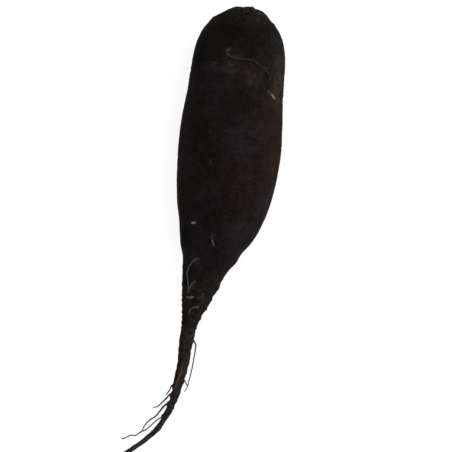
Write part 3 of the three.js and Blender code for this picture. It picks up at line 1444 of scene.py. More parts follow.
@dataclass(frozen=True)
class LeafScars:
    """The worn scars of old leaves, further down the spiral of those on the crown.

    Attributes:
        count: How many there are.
        before: How many leaves come before them in the spiral.
        turn: How far round each is from the last, in radians.
        sway: How far it strays from that, in radians.
        first: How far past the crown's edge the first lip is.
        gap: How much further each next one is.
        half: Half the first one's width.
        growth: How much more each next one's is.
        bow: How round the lips are.
        warp: How far they stray along the taproot.
        lip: A lip's height and size.
        bowl: The depth and size of the dip over it, and how far apart the two are.
        fade: How much fainter the last ones are, and how quickly they fade.
    """

    count: int = 26
    before: int = 12
    turn: float = 2.4
    sway: float = 0.3
    first: float = -0.4 * MM
    gap: float = 0.42 * MM
    half: float = 2.3 * MM
    growth: float = 0.05 * MM
    bow: float = 9 * MM
    warp: float = 1.3 * MM
    lip: Span = (0.32 * MM, 0.45 * MM)
    bowl: tuple[float, float, float] = (0.3 * MM, 0.75 * MM, 1.1 * MM)
    fade: Span = (0.8, 1.5)

    def heights(self, straight: Array, turn: Array, reach: Array, past: Array) -> Array:
        """Raise the scars' lips and sink their hollows.

        Args:
            straight: The points with the taproot pulled straight.
            turn: How far round each column is.
            reach: Each row's radius.
            past: How far past the crown's edge each row is.

        Returns:
            The heights that they add.
        """
        height, thick = self.lip
        depth, size, apart = self.bowl
        fainter, quickly = self.fade
        warp = self.warp * Noise(18).layers(straight / (3.2 * MM), 3)
        worn = np.clip(0.6 + 1.1 * Noise(19).layers(straight / (2.4 * MM), 2), 0, 1.4)
        total = np.zeros(straight.shape[:2])
        for scar in range(self.count):
            angle = (scar + self.before) * self.turn + self.sway * math.sin(5.1 * scar)
            aside = (turn - angle + math.pi) % (2 * math.pi) - math.pi
            off = aside[None] * reach[:, None]
            lip_at = self.first + self.gap * scar - off**2 / self.bow - warp
            behind = past[:, None] - lip_at
            shown = np.clip(1 - (off / (self.half + self.growth * scar)) ** 2, 0, 1)
            lip = height * np.exp(-((behind / thick) ** 2))
            bowl = depth * np.exp(-(((behind + apart) / size) ** 2))
            faded = (1 - fainter * scar / self.count) ** quickly
            total += worn * shown * faded * (lip - bowl)
        return total


@dataclass
class Taproot:
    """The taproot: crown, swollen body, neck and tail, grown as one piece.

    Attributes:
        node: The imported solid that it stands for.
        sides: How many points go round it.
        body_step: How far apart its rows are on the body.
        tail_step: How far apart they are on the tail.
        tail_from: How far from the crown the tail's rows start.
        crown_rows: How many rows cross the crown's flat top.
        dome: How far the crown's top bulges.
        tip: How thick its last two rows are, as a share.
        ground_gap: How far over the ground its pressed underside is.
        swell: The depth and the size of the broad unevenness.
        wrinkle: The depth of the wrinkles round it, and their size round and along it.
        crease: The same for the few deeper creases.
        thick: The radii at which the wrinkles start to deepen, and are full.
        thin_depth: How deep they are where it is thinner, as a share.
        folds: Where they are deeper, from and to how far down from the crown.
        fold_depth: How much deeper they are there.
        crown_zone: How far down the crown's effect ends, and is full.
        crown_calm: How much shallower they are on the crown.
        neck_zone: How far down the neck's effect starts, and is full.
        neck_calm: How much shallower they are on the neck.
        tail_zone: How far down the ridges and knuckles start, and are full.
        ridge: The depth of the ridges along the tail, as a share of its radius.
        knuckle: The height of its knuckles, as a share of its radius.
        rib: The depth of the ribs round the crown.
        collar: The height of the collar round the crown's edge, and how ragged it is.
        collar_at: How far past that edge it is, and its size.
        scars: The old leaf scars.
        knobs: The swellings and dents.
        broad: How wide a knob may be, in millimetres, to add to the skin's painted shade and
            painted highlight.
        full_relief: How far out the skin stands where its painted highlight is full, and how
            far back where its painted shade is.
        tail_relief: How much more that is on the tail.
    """

    node: str = "radish_root"
    sides: int = 160
    body_step: float = 0.5 * MM
    tail_step: float = 0.66 * MM
    tail_from: float = 176 * MM
    crown_rows: int = 14
    dome: float = 1.6 * MM
    tip: Span = (0.8, 0.45)
    ground_gap: float = 0.02 * MM
    swell: Span = (0.2 * MM, 22 * MM)
    wrinkle: tuple[float, float, float] = (0.07 * MM, 9 * MM, 1.9 * MM)
    crease: tuple[float, float, float] = (0.14 * MM, 12 * MM, 2.6 * MM)
    thick: Span = (4 * MM, 18 * MM)
    thin_depth: float = 0.35
    folds: Span = (28 * MM, 56 * MM)
    fold_depth: float = 0.9
    crown_zone: Span = (13 * MM, 2 * MM)
    crown_calm: float = 0.7
    neck_zone: Span = (80 * MM, 110 * MM)
    neck_calm: float = 0.45
    tail_zone: Span = (150 * MM, 190 * MM)
    ridge: float = 0.09
    knuckle: float = 0.08
    rib: float = 0.4 * MM
    collar: Span = (0.32 * MM, 0.34 * MM)
    collar_at: Span = (0.6 * MM, 2.4 * MM)
    scars: LeafScars = LeafScars()
    knobs: tuple[Knob, ...] = KNOBS
    broad: float = 4.4
    full_relief: float = 0.3 * MM
    tail_relief: float = 1.2

    def __post_init__(self) -> None:
        """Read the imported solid's axis and radius."""
        packed = PackedTube(self.node)
        self._knots = arc_lengths(packed.centres)
        self._centres = packed.centres
        self._radii = packed.radii
        self.length = float(self._knots[-1])

    def _axis(self, down: Array) -> tuple[Array, ...]:
        """Look up the axis.

        Args:
            down: How far from the crown, along the axis.

        Returns:
            The axis's points, the directions to its right and its top, and the radii.
        """
        at = np.clip(down, 0, self.length)
        centres = smooth_through(self._knots, self._centres, at)
        radii = smooth_through(self._knots, self._radii, at)
        step = 6 * MM
        ahead = smooth_through(self._knots, self._centres, np.minimum(at + step, self.length))
        behind = smooth_through(self._knots, self._centres, np.maximum(at - step, 0))
        along = unit(ahead - behind)
        right = unit(np.cross(UP, along))
        return centres, right, np.cross(along, right), radii

    def down_at(self, y: float) -> float:
        """Find how far from the crown, along the axis, the axis passes y."""
        return float(np.interp(-y, -self._centres[:, 1], self._knots))

    def spot(
        self, y: float, angle: float, turn: float = 0.0
    ) -> tuple[tuple[float, ...], tuple[float, ...]]:
        """Find a place on the smooth skin, and how the skin lies there.

        Args:
            y: Where the axis is, along Y.
            angle: How far round from the top, in degrees, towards +X.
            turn: How far to turn on the skin, in degrees.

        Returns:
            The place, and the turns about X, Y and Z whose X runs round the taproot and whose
            Y runs towards the crown.
        """
        axis = self._axis(np.array([self.down_at(y)]))
        centre, right, top, radius = (part[0] for part in axis)
        swing = math.radians(angle)
        out = right * math.sin(swing) + top * math.cos(swing)
        around = right * math.cos(swing) - top * math.sin(swing)
        ahead = np.cross(out, around)
        lean = math.radians(turn)
        x_way = around * math.cos(lean) + ahead * math.sin(lean)
        lie = Matrix(np.stack([x_way, np.cross(out, x_way), out], axis=1).tolist())
        return tuple(centre + out * radius), tuple(lie.to_euler("XYZ"))

    def grow(self, finish: SkinFinish, effects: SharedEffects) -> Piece:
        """Grow the taproot and dress it.

        Args:
            finish: Its skin.
            effects: The shared effects.

        Returns:
            The piece.
        """
        down, reach, out = self._profile()
        centres, right, top, _ = self._axis(down)
        turn = np.linspace(0, 2 * math.pi, self.sides, endpoint=False)
        ways = right[:, None] * np.sin(turn)[:, None] + top[:, None] * np.cos(turn)[:, None]
        crown_way = -unit(self._centres[1] - self._centres[0])
        tail_way = unit(self._centres[-1] - self._centres[-2])
        lift = crown_way * out[:, None]
        girth = reach[:, None]
        places = centres[:, None] + lift[:, None] + ways * girth[..., None]
        straight = points_from(
            np.sin(turn) * girth, (down - out)[:, None], np.cos(turn) * girth
        )
        places[..., 2] = self._pressed(places[..., 2])
        outwards = self._outwards(places)
        relief = self._relief(places, straight, turn, down, reach)
        broad = self._knobbed(places, [knob for knob in self.knobs if knob.reach > self.broad])
        places = places + outwards * relief[..., None]
        places[..., 2] = self._pressed(places[..., 2])
        ends = (
            places[0].mean(0) + crown_way * 0.05 * MM,
            places[-1].mean(0) + tail_way * 0.3 * MM,
        )
        # This mark drives the painted shade in the hollows and the painted highlight on the
        # crown's raised lips.
        marks = {"relief": self._shown(relief - broad, down)}
        piece = grow_piece("taproot", [GrownRows(places, ends, straight, marks)])
        self._chart(piece, down)
        piece.data.materials.append(finish.make(effects, self))
        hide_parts(self.node)
        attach(piece, "root")
        return piece

    def _shown(self, relief: Array, down: Array) -> Array:
        """Tell the skin's finish where it stands out from the rest of its row, for its painted
        shade and painted highlight.

        Args:
            relief: How far out each point is.
            down: How far down each row is.

        Returns:
            -1 where it lies deepest, 1 on a ridge.
        """
        on_tail = ease(140 * MM, 190 * MM, down)[:, None]
        uneven = relief - relief.mean(1, keepdims=True)
        return np.clip(uneven / (self.full_relief * (1 + self.tail_relief * on_tail)), -1, 1)

    def _profile(self) -> tuple[Array, Array, Array]:
        """Lay out the rows from the middle of the crown to the tail's tip.

        Returns:
            How far each row is down the axis, its radius, and how far it stands out past the
            crown's flat top.
        """
        edge = self._radii[0]
        share = np.linspace(0.04, 1, self.crown_rows)
        body = np.arange(self.body_step, self.tail_from, self.body_step)
        tail = np.arange(self.tail_from, self.length, self.tail_step)
        down = np.concatenate([np.zeros(self.crown_rows), body, tail, [self.length]])
        reach = self._axis(down)[3]
        reach[: self.crown_rows] = edge * share
        out = np.zeros(len(down))
        out[: self.crown_rows] = self.dome * (1 - share**4)
        reach[-2:] *= self.tip
        return down, reach, out

    def _pressed(self, heights: Array) -> Array:
        """Press the underside flat on the ground."""
        return np.maximum(heights, self.ground_gap)

    @staticmethod
    def _outwards(places: Array) -> Array:
        """Find which way the surface faces at each point.

        Args:
            places: The rows of points.

        Returns:
            The directions, as places.
        """
        around = np.roll(places, -1, axis=1) - np.roll(places, 1, axis=1)
        along = np.gradient(places, axis=0)
        return unit(np.cross(along, around))

    def _relief(
        self, places: Array, straight: Array, turn: Array, down: Array, reach: Array
    ) -> Array:
        """Work out how far the skin stands out from the smooth taproot.

        Args:
            places: The smooth rows of points.
            straight: The same points with the taproot pulled straight.
            turn: How far round each column is.
            down: How far down each row is.
            reach: Each row's radius.

        Returns:
            The heights, one for each point.
        """
        girth = reach[:, None]
        full = ease(*self.thick, girth)
        tail = ease(*self.tail_zone, down)[:, None]
        crown = ease(*self.crown_zone, down)[:, None]
        neck = ease(*self.neck_zone, down)[:, None]
        first, last = self.folds
        folded = ease(first, first + 8 * MM, down) * ease(last, last - 12 * MM, down)
        swell, size = self.swell
        height = swell * full * (1 - crown) * Noise(11).layers(straight / size, 2)
        strength = self.thin_depth + (1 - self.thin_depth) * full
        strength = strength * (1 - self.crown_calm * crown) * (1 - self.neck_calm * neck)
        strength = strength * (1 + self.fold_depth * folded[:, None])
        depth, around, along = self.wrinkle
        wrinkles = Noise(12).layers(straight / np.array([around, along, around]), 2)
        height = height + depth * strength * wrinkles
        depth, around, along = self.crease
        creases = Noise(13).layers(straight / np.array([around, along, around]), 2)
        height = height - depth * strength * ease(0.25, 0.75, creases)
        # The ridges are as wide as the row is, so their number stays the same as it thins.
        width = 0.45 * np.maximum(girth, 0.2 * MM)
        ridges = Noise(14).layers(straight / points_from(width, 16 * MM, width), 3)
        knuckles = Noise(15).layers(straight / np.array([5 * MM, 2.6 * MM, 5 * MM]), 3)
        height = height + tail * girth * (self.ridge * ridges + self.knuckle * knuckles)
        height = height + self._knobbed(places, self.knobs)
        return height + self._crown_relief(straight, turn, down, reach, crown)

    def _knobbed(self, places: Array, knobs: Iterable[Knob]) -> Array:
        """Raise knobs and sink dents.

        Args:
            places: The smooth rows of points.
            knobs: The knobs and the dents.

        Returns:
            The heights that they add.
        """
        height = np.zeros(places.shape[:2])
        for knob in knobs:
            centre, _ = self.spot(knob.y * MM, knob.angle)
            far = np.linalg.norm(places - np.array(centre), axis=-1) / (knob.reach * MM)
            height += knob.height * MM * np.exp(-(far**2))
        return height

    def _crown_relief(
        self, straight: Array, turn: Array, down: Array, reach: Array, crown: Array
    ) -> Array:
        """Ring the crown with ribs, old leaf scars and a ragged collar.

        Args:
            straight: The points with the taproot pulled straight.
            turn: How far round each column is.
            down: How far down each row is.
            reach: Each row's radius.
            crown: How near the crown each row is, from 0 to 1.

        Returns:
            The heights that they add.
        """
        past = arc_lengths(points_from(down, reach))
        past = past - past[self.crown_rows - 1]
        ribs = Noise(16).layers(straight / np.array([1.5 * MM, 6 * MM, 1.5 * MM]), 3)
        ragged = Noise(17).layers(straight / (1.7 * MM), 3)
        tall, varied = self.collar
        middle, size = self.collar_at
        collar = np.exp(-(((past - middle) / size) ** 2))[:, None] * (tall + varied * ragged)
        scars = self.scars.heights(straight, turn, reach, past)
        return self.rib * crown * ribs + scars + collar

    def _chart(self, piece: Piece, down: Array) -> None:
        """Give the body and the thin tail a part each of the piece's own map.

        Args:
            piece: The taproot.
            down: How far down each row is.
        """
        layer = piece.data.uv_layers[OWN_MAP]
        count = len(layer.uv)
        places = np.empty(count * 2, np.float32)
        layer.uv.foreach_get("vector", places)
        places = places.reshape(-1, 2)
        rows = len(down)
        split = int(np.searchsorted(down, self.tail_from)) + 1
        row = places[:, 1] * (rows + 1)
        starts = np.empty(len(piece.data.polygons), np.int32)
        piece.data.polygons.foreach_get("loop_start", starts)
        totals = np.empty(len(piece.data.polygons), np.int32)
        piece.data.polygons.foreach_get("loop_total", totals)
        lowest = np.minimum.reduceat(row, starts)
        on_tail = np.repeat(lowest > split - 0.5, totals)
        margin, body_width, tail_left, tail_width = 0.01, 0.78, 0.81, 0.18
        body_u = margin + body_width * places[:, 0]
        tail_u = tail_left + tail_width * places[:, 0]
        body_v = row / split
        tail_v = (row - split) / (rows + 1 - split)
        u = np.where(on_tail, tail_u, body_u)
        v = margin + (1 - 2 * margin) * np.where(on_tail, tail_v, body_v)
        layer.uv.foreach_set("vector", points_from(u, v).astype(np.float32).ravel())


# ---- the cut leaf stalks


@dataclass
class CutLeafStalks:
    """The stumps of the leaf stalks on the crown.

    Attributes:
        count: How many there are.
        sides: How many points go round each.
        levels: How many rows go up each.
        cap_rows: How many rows cross each cut end.
        root_depth: How deep each goes into the crown.
        tilt: How steeply the cut ends slope, along X and along Z.
        ragged: How uneven the cut ends are.
        teeth: How much of that their rims show.
        flare: How much wider the foot is, and how much narrower the top, as shares.
        fibre: How deep the fibres' grooves are.
        sunk: How far the middle of a cut end lies below its rim.
        pit: How deep the pits in it are.
        age: How weathered the least weathered one is, and how much more others may be.
    """

    count: int = 12
    sides: int = 72
    levels: int = 22
    cap_rows: int = 9
    root_depth: float = 0.7 * MM
    tilt: Span = (0.16, 0.12)
    ragged: float = 0.45 * MM
    teeth: float = 0.7
    flare: Span = (0.10, 0.07)
    fibre: float = 0.12 * MM
    sunk: float = 0.28 * MM
    pit: float = 0.22 * MM
    age: Span = (0.35, 0.6)

    def grow(self, finish: StalkFinish, effects: SharedEffects) -> list[Piece]:
        """Grow the stalks and dress them.

        Args:
            finish: Their finish.
            effects: The shared effects.

        Returns:
            The pieces.
        """
        pieces = []
        least, more = self.age
        for number in range(1, self.count + 1):
            node = f"leaf_stalk_{number:02d}"
            piece = grow_piece(f"stalk_stub_{number:02d}", [self._stub(node, number)])
            age = least + more * abs(math.sin(1.7 * number))
            piece.data.materials.append(finish.make(f"dried_stalk_{number:02d}", effects, age))
            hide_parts(node)
            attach(piece, "root")
            pieces.append(piece)
        return pieces

    @staticmethod
    def _outline(node: str, sides: int) -> tuple[Array, Array, float, float]:
        """Read a packed stalk's outline across the crown.

        Args:
            node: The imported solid.
            sides: How many points are wanted.

        Returns:
            The middle of its foot, the outline's offsets in X and Z, and its lowest and
            highest Y.
        """
        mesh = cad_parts[node].data
        points = np.array([corner.co for corner in mesh.vertices], float)
        low, high = points[:, 1].min(), points[:, 1].max()
        foot = points[points[:, 1] < low + 0.2 * (high - low)]
        foot = np.unique(np.round(foot, 6), axis=0)
        middle = (foot.min(0) + foot.max(0)) / 2
        flat = foot[:, (0, 2)] - middle[[0, 2]]
        turn = np.arctan2(flat[:, 1], flat[:, 0])
        order = np.argsort(turn)
        ring = np.concatenate([flat[order], flat[order][:1]])
        length = arc_lengths(ring)
        at = np.linspace(0, length[-1], sides, endpoint=False)
        outline = points_from(*(np.interp(at, length, side) for side in ring.T))
        smooth = (np.roll(outline, 1, 0) + 2 * outline + np.roll(outline, -1, 0)) / 4
        return middle, smooth, float(low), float(high)

    def _stub(self, node: str, number: int) -> GrownRows:
        """Shape one stalk: ribbed sides, a flared foot and a ragged cut end.

        Args:
            node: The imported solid.
            number: The stalk's number, which picks its unevenness.

        Returns:
            The rows, with the mark "cut" on the cut end.
        """
        middle, outline, low, high = self._outline(node, self.sides)
        noise = Noise(40 + number)
        foot = low - self.root_depth
        share = np.linspace(0, 1, self.levels)
        x, z = outline[:, 0], outline[:, 1]
        across, lengthwise = self.tilt
        slope = across * math.sin(2.3 * number) * x + lengthwise * math.cos(1.9 * number) * z
        teeth = noise.layers(points_from(x / MM, z / MM, 0.0) * 1.9 + 3.1, 3)
        tops = high - low - 0.2 * MM + slope + self.teeth * self.ragged * teeth
        y = foot + share[:, None] * (tops + self.root_depth)[None]
        wider, narrower = self.flare
        flared = 1 + wider * (1 - share) ** 3 - narrower * share
        ribs = noise.layers(points_from(x / MM * 2.4, share[:, None] * 1.3, z / MM * 2.4), 2)
        size = flared[:, None] + ribs * self.fibre / (1.6 * MM)
        inwards = np.linspace(0.86, 0.08, self.cap_rows)[:, None]
        pits = noise.layers(points_from(x / MM * inwards * 2.2, 9.0, z / MM * inwards * 2.2), 2)
        rim = y[-1][None]
        level = rim.mean() - self.sunk
        cap_y = rim * inwards**2 + level * (1 - inwards**2) + self.pit * pits
        size = np.concatenate([size, size[-1][None] * inwards])
        y = np.concatenate([y, cap_y])
        places = points_from(middle[0] + x * size, y, middle[2] + z * size)[:, ::-1]
        cut = np.concatenate([ease(0.9, 1.0, share) * 0.5, np.ones(self.cap_rows)])
        cut = np.broadcast_to(cut[:, None], places.shape[:2])
        ends = (np.array([middle[0], foot, middle[2]]), places[-1].mean(0))
        return GrownRows(places, ends, places - middle, {"cut": cut})


# ---- the side roots


class RootEnd(Enum):
    """How a side root ends."""

    POINTED = "pointed"
    BROKEN = "broken"


class RootletTone(Enum):
    """Which finish a side root has."""

    PALE = RootletFinish("pale_rootlet", (88, 80, 72), (94, 87, 79), (52, 43, 37))
    DULL = RootletFinish("dull_rootlet", (62, 56, 49), (74, 68, 59), (34, 30, 26), 0.85)
    FADING = RootletFinish("fading_rootlet", (74, 68, 59), (42, 38, 34), (36, 32, 28), 0.6)
    BROWN = RootletFinish("brown_rootlet", (68, 57, 52), (44, 37, 34), (36, 29, 26), 0.6)
    DARK = RootletFinish("dark_rootlet", (64, 56, 56), (70, 63, 66), (40, 34, 36))


@dataclass(frozen=True)
class Hair:
    """A fine hair on a side root.

    Attributes:
        share: Where it leaves the side root, from its base at 0 to its tip at 1.
        way: Which way it heads, in degrees from +X towards +Y.
        length: How long it is.
    """

    share: float
    way: float
    length: float


@dataclass(frozen=True)
class SideRoot:
    """A side root.

    Attributes:
        node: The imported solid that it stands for.
        name: The piece's name.
        tone: Its finish.
        end: How it ends.
        settles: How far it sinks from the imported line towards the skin.
        buried: How much of its base the skin hides.
        waver: How far it strays from side to side.
        thickness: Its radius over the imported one's.
        least: Its least radius.
        taper: How much of its thickness a pointed end loses.
        flare: How much wider it is where it leaves the skin.
        joins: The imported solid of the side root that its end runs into, if any.
        beyond: Points that its thin end goes on to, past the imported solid.
        hairs: The fine hairs on it.
    """

    node: str
    name: str
    tone: RootletTone
    end: RootEnd = RootEnd.POINTED
    settles: float = 0.0
    buried: float = 0.9 * MM
    waver: float = 0.12 * MM
    thickness: float = 1.0
    least: float = 0.2 * MM
    taper: float = 0.25
    flare: float = 0.4
    joins: str = ""
    beyond: tuple[Point, ...] = ()
    hairs: tuple[Hair, ...] = ()


SIDE_ROOTS = (
    SideRoot(
        "shoulder_hair_root", "long_hair", RootletTone.FADING, settles=0.35 * MM,
        buried=3 * MM, waver=0.2 * MM, thickness=1.2,
    ),
    SideRoot(
        "shoulder_side_hair", "short_hair", RootletTone.FADING, settles=0.4 * MM,
        waver=0.05 * MM,
    ),
    SideRoot(
        "belly_stub_root", "stub", RootletTone.DULL, RootEnd.BROKEN, settles=0.4 * MM,
        buried=0.5 * MM, waver=0.05 * MM, thickness=1.15, flare=0.1,
    ),
    SideRoot(
        "curled_side_root", "curl", RootletTone.PALE, RootEnd.BROKEN, settles=0.5 * MM,
        waver=0.1 * MM, flare=0.3,
    ),
    SideRoot(
        "forked_side_root", "fork", RootletTone.PALE, settles=0.5 * MM, waver=0.08 * MM,
        joins="curled_side_root",
    ),
    SideRoot(
        "crosswise_stub_root", "crosspiece", RootletTone.PALE, RootEnd.BROKEN,
        settles=0.4 * MM, buried=1.4 * MM, waver=0.06 * MM, thickness=1.25, flare=0.15,
    ),
    SideRoot(
        "hooked_side_root", "hook", RootletTone.PALE, settles=0.45 * MM, waver=0.06 * MM,
    ),
    SideRoot(
        "tail_crossing_root", "tail_crossing_rootlet", RootletTone.BROWN, settles=0.6 * MM,
        thickness=1.15,
    ),
    SideRoot(
        "long_right_side_root", "long_right_rootlet", RootletTone.DARK, buried=1.6 * MM,
        thickness=1.3, least=0.36 * MM,
        beyond=(
            (-0.0269, -0.1517, 0.0009), (-0.0274, -0.153, 0.0008), (-0.0288, -0.155, 0.0007),
        ),
        hairs=(Hair(0.45, -110, 2.2 * MM),),
    ),
    SideRoot(
        "short_right_side_root", "short_right_rootlet", RootletTone.DARK, least=0.34 * MM,
    ),
    SideRoot(
        "upper_left_side_root", "first_left_rootlet", RootletTone.DARK, buried=1.2 * MM,
        thickness=1.2, least=0.4 * MM,
    ),
    SideRoot(
        "second_left_side_root", "second_left_rootlet", RootletTone.DARK, buried=1.2 * MM,
        thickness=1.5, least=0.38 * MM, beyond=((-0.0484, -0.1647, 0.0006),),
        hairs=(Hair(0.45, 215, 2.0 * MM),),
    ),
    SideRoot(
        "third_left_side_root", "third_left_rootlet", RootletTone.DARK, buried=1.2 * MM,
        thickness=1.3, least=0.42 * MM,
        hairs=(Hair(0.22, 240, 2.0 * MM), Hair(0.6, 235, 1.8 * MM)),
    ),
    SideRoot(
        "longest_left_side_root", "fourth_left_rootlet", RootletTone.DARK, buried=1.2 * MM,
        least=0.38 * MM, taper=0.1, beyond=((-0.0681, -0.1844, 0.0004),),
        hairs=(Hair(0.55, 250, 1.8 * MM), Hair(0.8, 170, 1.6 * MM)),
    ),
)


@dataclass
class SideRoots:
    """The side roots that lie on the skin and those that leave the tail.

    Attributes:
        taproot: The taproot's piece, on which they grow.
        step: How far apart their rows are.
        sides: How many points go round each.
        unevenness: How much their radii vary, as a share.
        ground_gap: How far over the ground they lie at least, and their hairs.
        flare_length: How far the flare of a base goes.
        break_length: How far from a broken end it starts to thin.
        press: How high over the skin one's middle stays, as a share of its radius.
        depth: How deep a base goes, in radii: on the skin, and where it is free.
        hair_rows: How many rows each hair has.
        hair_sides: How many points go round it.
        hair_radius: Its radius where it starts.
        hair_bend: How far it strays sideways, as a share of its length.
        hair_droop: How far it bends down, as a share of its length.
        main_chart: How much of its map a side root with hairs keeps for itself.
    """

    taproot: Piece
    step: float = 0.22 * MM
    sides: int = 14
    unevenness: float = 0.14
    ground_gap: Span = (0.04 * MM, 0.03 * MM)
    flare_length: float = 0.8 * MM
    break_length: float = 0.35 * MM
    press: float = 0.45
    depth: Span = (2, 0.8)
    hair_rows: int = 26
    hair_sides: int = 6
    hair_radius: float = 0.11 * MM
    hair_bend: float = 0.25
    hair_droop: float = 0.2
    main_chart: float = 0.64

    def __post_init__(self) -> None:
        """Take the taproot's surface."""
        mesh = self.taproot.data
        points = [corner.co.copy() for corner in mesh.vertices]
        self._skin = BVHTree.FromPolygons(points, [tuple(p.vertices) for p in mesh.polygons])

    def grow(self, roots: Iterable[SideRoot], effects: SharedEffects) -> list[Piece]:
        """Grow the side roots and dress them.

        Args:
            roots: The side roots.
            effects: The shared effects.

        Returns:
            The pieces.
        """
        finishes = {tone: tone.value.make(effects) for tone in RootletTone}
        pieces = []
        for number, root in enumerate(roots):
            piece = grow_piece(root.name, self._strands(root, number))
            piece.data.materials.append(finishes[root.tone])
            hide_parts(root.node)
            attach(piece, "root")
            pieces.append(piece)
        return pieces

    def _strands(self, root: SideRoot, number: int) -> list[GrownRows]:
        """Shape a side root and its hairs.

        Args:
            root: The side root.
            number: Its number, which picks its unevenness.

        Returns:
            The rows of each strand.
        """
        packed = PackedTube(root.node)
        centres, radii = packed.centres, packed.radii
        onward = np.array(root.beyond).reshape(-1, 3)
        if root.joins:
            onward = self._onward(centres, PackedTube(root.joins).centres)
        centres = np.concatenate([centres, onward])
        radii = np.concatenate([radii, radii[-1:].repeat(len(onward))])
        knots = arc_lengths(centres)
        at = np.linspace(0, knots[-1], max(24, int(knots[-1] / self.step)))
        line = smooth_through(knots, centres, at)
        radii = np.maximum(np.interp(at, knots, radii) * root.thickness, root.least)
        line = self._strayed(line, at, root, number)
        line = self._settled(line, radii, at, root)
        line[:, 2] = np.maximum(line[:, 2], radii + self.ground_gap[0])
        radii = radii * (1 + root.flare * np.exp(-at / self.flare_length))
        if root.end is RootEnd.POINTED:
            radii = radii * (1 - root.taper * ease(0.7, 1.0, at / at[-1]))
        else:
            radii = radii * np.sqrt(np.clip((at[-1] - at) / self.break_length, 0.12, 1))
        top = self.main_chart if root.hairs else 1.0
        main = Strand(line, radii, self.sides, 70 + number, self.unevenness)
        strands = [main.rows((0, 1, 0, top))]
        for k, hair in enumerate(root.hairs):
            low, high = (top + (1 - top) * (k + j) / len(root.hairs) for j in (0, 1))
            chart = (0, 1, low + 0.01, high)
            strands.append(self._hair(hair, line, 90 + 5 * number + k, chart))
        return strands

    @staticmethod
    def _onward(centres: Array, other: Array) -> Array:
        """Lead a side root's end into another side root.

        Args:
            centres: Its centre line.
            other: The other one's centre line.

        Returns:
            The points that follow its centre line.
        """
        end, goal = centres[-1], other[-2]
        reach = np.linalg.norm(goal - end)
        bend = end + unit(centres[-1] - centres[-2]) * 0.5 * reach
        share = np.linspace(0.2, 1, 5)[:, None]
        return (1 - share) ** 2 * end + 2 * share * (1 - share) * bend + share**2 * goal

    def _strayed(self, line: Array, at: Array, root: SideRoot, number: int) -> Array:
        """Let a side root stray a little from side to side.

        Args:
            line: Its centre line.
            at: How far along it each point is.
            root: The side root.
            number: Its number, which picks the way it strays.

        Returns:
            The new centre line.
        """
        along = unit(np.gradient(line, axis=0))
        aside = unit(np.cross(along, UP))
        places = points_from(at / (2.6 * MM), number * 3.7, 0.0)
        stray = root.waver * Noise(60 + number).layers(places, 3)
        held = ease(0.0, 2 * MM, at)
        return line + aside * (stray * held)[:, None]

    def _settled(self, line: Array, radii: Array, at: Array, root: SideRoot) -> Array:
        """Bring a side root down onto the skin, and its base into it.

        Args:
            line: Its centre line.
            radii: Its radius at each point.
            at: How far along it each point is.
            root: The side root.

        Returns:
            The new centre line.
        """
        settled = line.copy()
        depth = self.depth[0] if root.settles else self.depth[1]
        for i, point in enumerate(line):
            near, facing, _, far = self._skin.find_nearest(Vector(point))
            inside = (Vector(point) - near).dot(facing) < 0
            wanted = -far if inside else far
            if root.settles:
                wanted = max(wanted - root.settles, self.press * radii[i])
            base = math.exp(-((at[i] / root.buried) ** 2))
            wanted = wanted * (1 - base) - depth * radii[i] * base
            out = facing if far < 1e-9 or inside else (Vector(point) - near) / far
            settled[i] = np.array(near + out * wanted)
        for _ in range(6):
            settled[1:-1] = (settled[:-2] + 2 * settled[1:-1] + settled[2:]) / 4
        return settled

    def _hair(self, hair: Hair, line: Array, seed: int, chart: Chart) -> GrownRows:
        """Shape one hair.

        Args:
            hair: The hair.
            line: The centre line of the side root that it grows on.
            seed: Picks its unevenness.
            chart: Its place on the piece's own map.

        Returns:
            The rows.
        """
        start = line[int(hair.share * (len(line) - 1))]
        far = np.linspace(0, 1, self.hair_rows)
        swing = math.radians(hair.way)
        way = np.array([math.cos(swing), math.sin(swing), 0.0])
        aside = np.array([-way[1], way[0], 0.0])
        bend = self.hair_bend * hair.length * Noise(seed).at(points_from(far * 2.3, 0.0, 0.0))
        path = start + far[:, None] * hair.length * way + bend[:, None] * aside * far[:, None]
        path[:, 2] -= self.hair_droop * hair.length * far**1.5
        thin = self.hair_radius * (1 - 0.6 * far)
        path[:, 2] = np.maximum(path[:, 2], thin + self.ground_gap[1])
        return Strand(path, thin, self.hair_sides, seed, 0.1).rows(chart)


# ---- the studio


@dataclass(frozen=True)
class Lamp:
    """A soft square lamp.

    Attributes:
        name: Its name.
        place: Where it hangs.
        size: How wide it is.
        power: How strong it is, in watts.
    """

    name: str
    place: Point
    size: float
    power: float


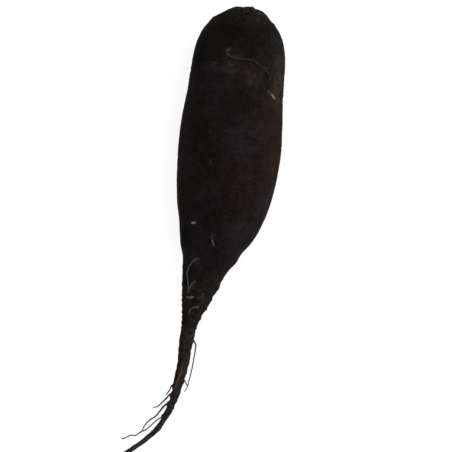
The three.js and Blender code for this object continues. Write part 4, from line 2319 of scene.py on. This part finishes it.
@dataclass
class Studio:
    """The floor, the lamps and the camera.

    Attributes:
        target: The point on the floor under the camera.
        height: How high the camera hangs over it.
        lens: The camera's focal length, in millimetres.
        sensor: How wide its sensor is, in millimetres.
        sight: From and to how far away it sees.
        floor_size: How wide the floor is.
        surroundings: How bright the light from all round is.
        middle: The point that the lamps aim at.
        lamps: The lamps.
    """

    target: Span = (-2.9 * MM, -51.6 * MM)
    height: float = 784 * MM
    lens: float = 100.0
    sensor: float = 36.0
    sight: Span = (0.01, 20.0)
    floor_size: float = 4.0
    surroundings: float = 0.1
    middle: Point = (0.0, -30 * MM, 20 * MM)
    lamps: tuple[Lamp, ...] = (
        Lamp("right_lamp", (0.97, -0.03, 0.26), 0.6, 9.2),
        Lamp("top_lamp", (0.0, 0.1, 1.5), 1.2, 13.0),
        Lamp("back_lamp", (-0.8, 0.7, 0.12), 0.6, 1.6),
    )

    def set_up(self, finish: FloorFinish) -> None:
        """Build the studio.

        Args:
            finish: The floor's finish.
        """
        self._lay_floor(finish)
        for lamp in self.lamps:
            self._hang(lamp)
        self._light_all_round()
        self._place_camera()
        bpy.context.scene.view_settings.view_transform = "Standard"

    def _lay_floor(self, finish: FloorFinish) -> None:
        """Lay the floor.

        Args:
            finish: Its finish.
        """
        half = self.floor_size / 2
        corners = [(-half, -half, 0), (half, -half, 0), (half, half, 0), (-half, half, 0)]
        mesh = bpy.data.meshes.new("floor")
        mesh.from_pydata(corners, [], [(0, 1, 2, 3)])
        mesh.materials.append(finish.make())
        floor = bpy.data.objects.new("floor", mesh)
        bpy.context.scene.collection.objects.link(floor)

    def _hang(self, lamp: Lamp) -> None:
        """Hang a lamp, aimed at the middle of the object.

        Args:
            lamp: The lamp.
        """
        light = bpy.data.lights.new(lamp.name, "AREA")
        light.shape = "SQUARE"
        light.size = lamp.size
        light.energy = lamp.power
        hung = bpy.data.objects.new(lamp.name, light)
        hung.location = lamp.place
        aim = Vector(self.middle) - Vector(lamp.place)
        hung.rotation_euler = aim.to_track_quat("-Z", "Y").to_euler()
        bpy.context.scene.collection.objects.link(hung)

    def _light_all_round(self) -> None:
        """Light the scene evenly from all round, and show white behind it."""
        world = bpy.data.worlds.new("surroundings")
        world.use_nodes = True
        graph = Graph(world.node_tree)
        path = graph.add("ShaderNodeLightPath")
        background = world.node_tree.nodes["Background"]
        background.inputs["Color"].default_value = WHITE
        seen = path.outputs["Is Camera Ray"]
        strength = graph.ramp(seen, 0.0, 1.0, self.surroundings, 1.0)
        graph.feed(background.inputs["Strength"], strength)
        bpy.context.scene.world = world

    def _place_camera(self) -> None:
        """Hang the camera, looking straight down with the crown at the top."""
        data = bpy.data.cameras.new("camera")
        data.lens = self.lens
        data.sensor_width = self.sensor
        data.clip_start, data.clip_end = self.sight
        camera = bpy.data.objects.new("camera", data)
        camera.location = (*self.target, self.height)
        bpy.context.scene.collection.objects.link(camera)
        bpy.context.scene.camera = camera


# ---- the whole radish


def report(pieces: Iterable[Piece]) -> None:
    """Log each piece with its size.

    Args:
        pieces: The pieces.
    """
    for piece in pieces:
        size = " x ".join(f"{side / MM:.1f}" for side in piece.dimensions)
        log.info("%s: %d faces, %s mm", piece.name, len(piece.data.polygons), size)


def main() -> None:
    """Grow the radish, set up the studio and note its size."""
    logging.basicConfig(level=logging.INFO, format="%(message)s")
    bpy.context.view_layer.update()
    effects = SharedEffects()
    taproot = Taproot().grow(SkinFinish(), effects)
    report([taproot])
    report(CutLeafStalks().grow(StalkFinish(), effects))
    report(SideRoots(taproot).grow(SIDE_ROOTS, effects))
    Studio().set_up(FloorFinish())
    bpy.context.view_layer.update()
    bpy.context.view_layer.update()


if __name__ == "__main__":
    main()
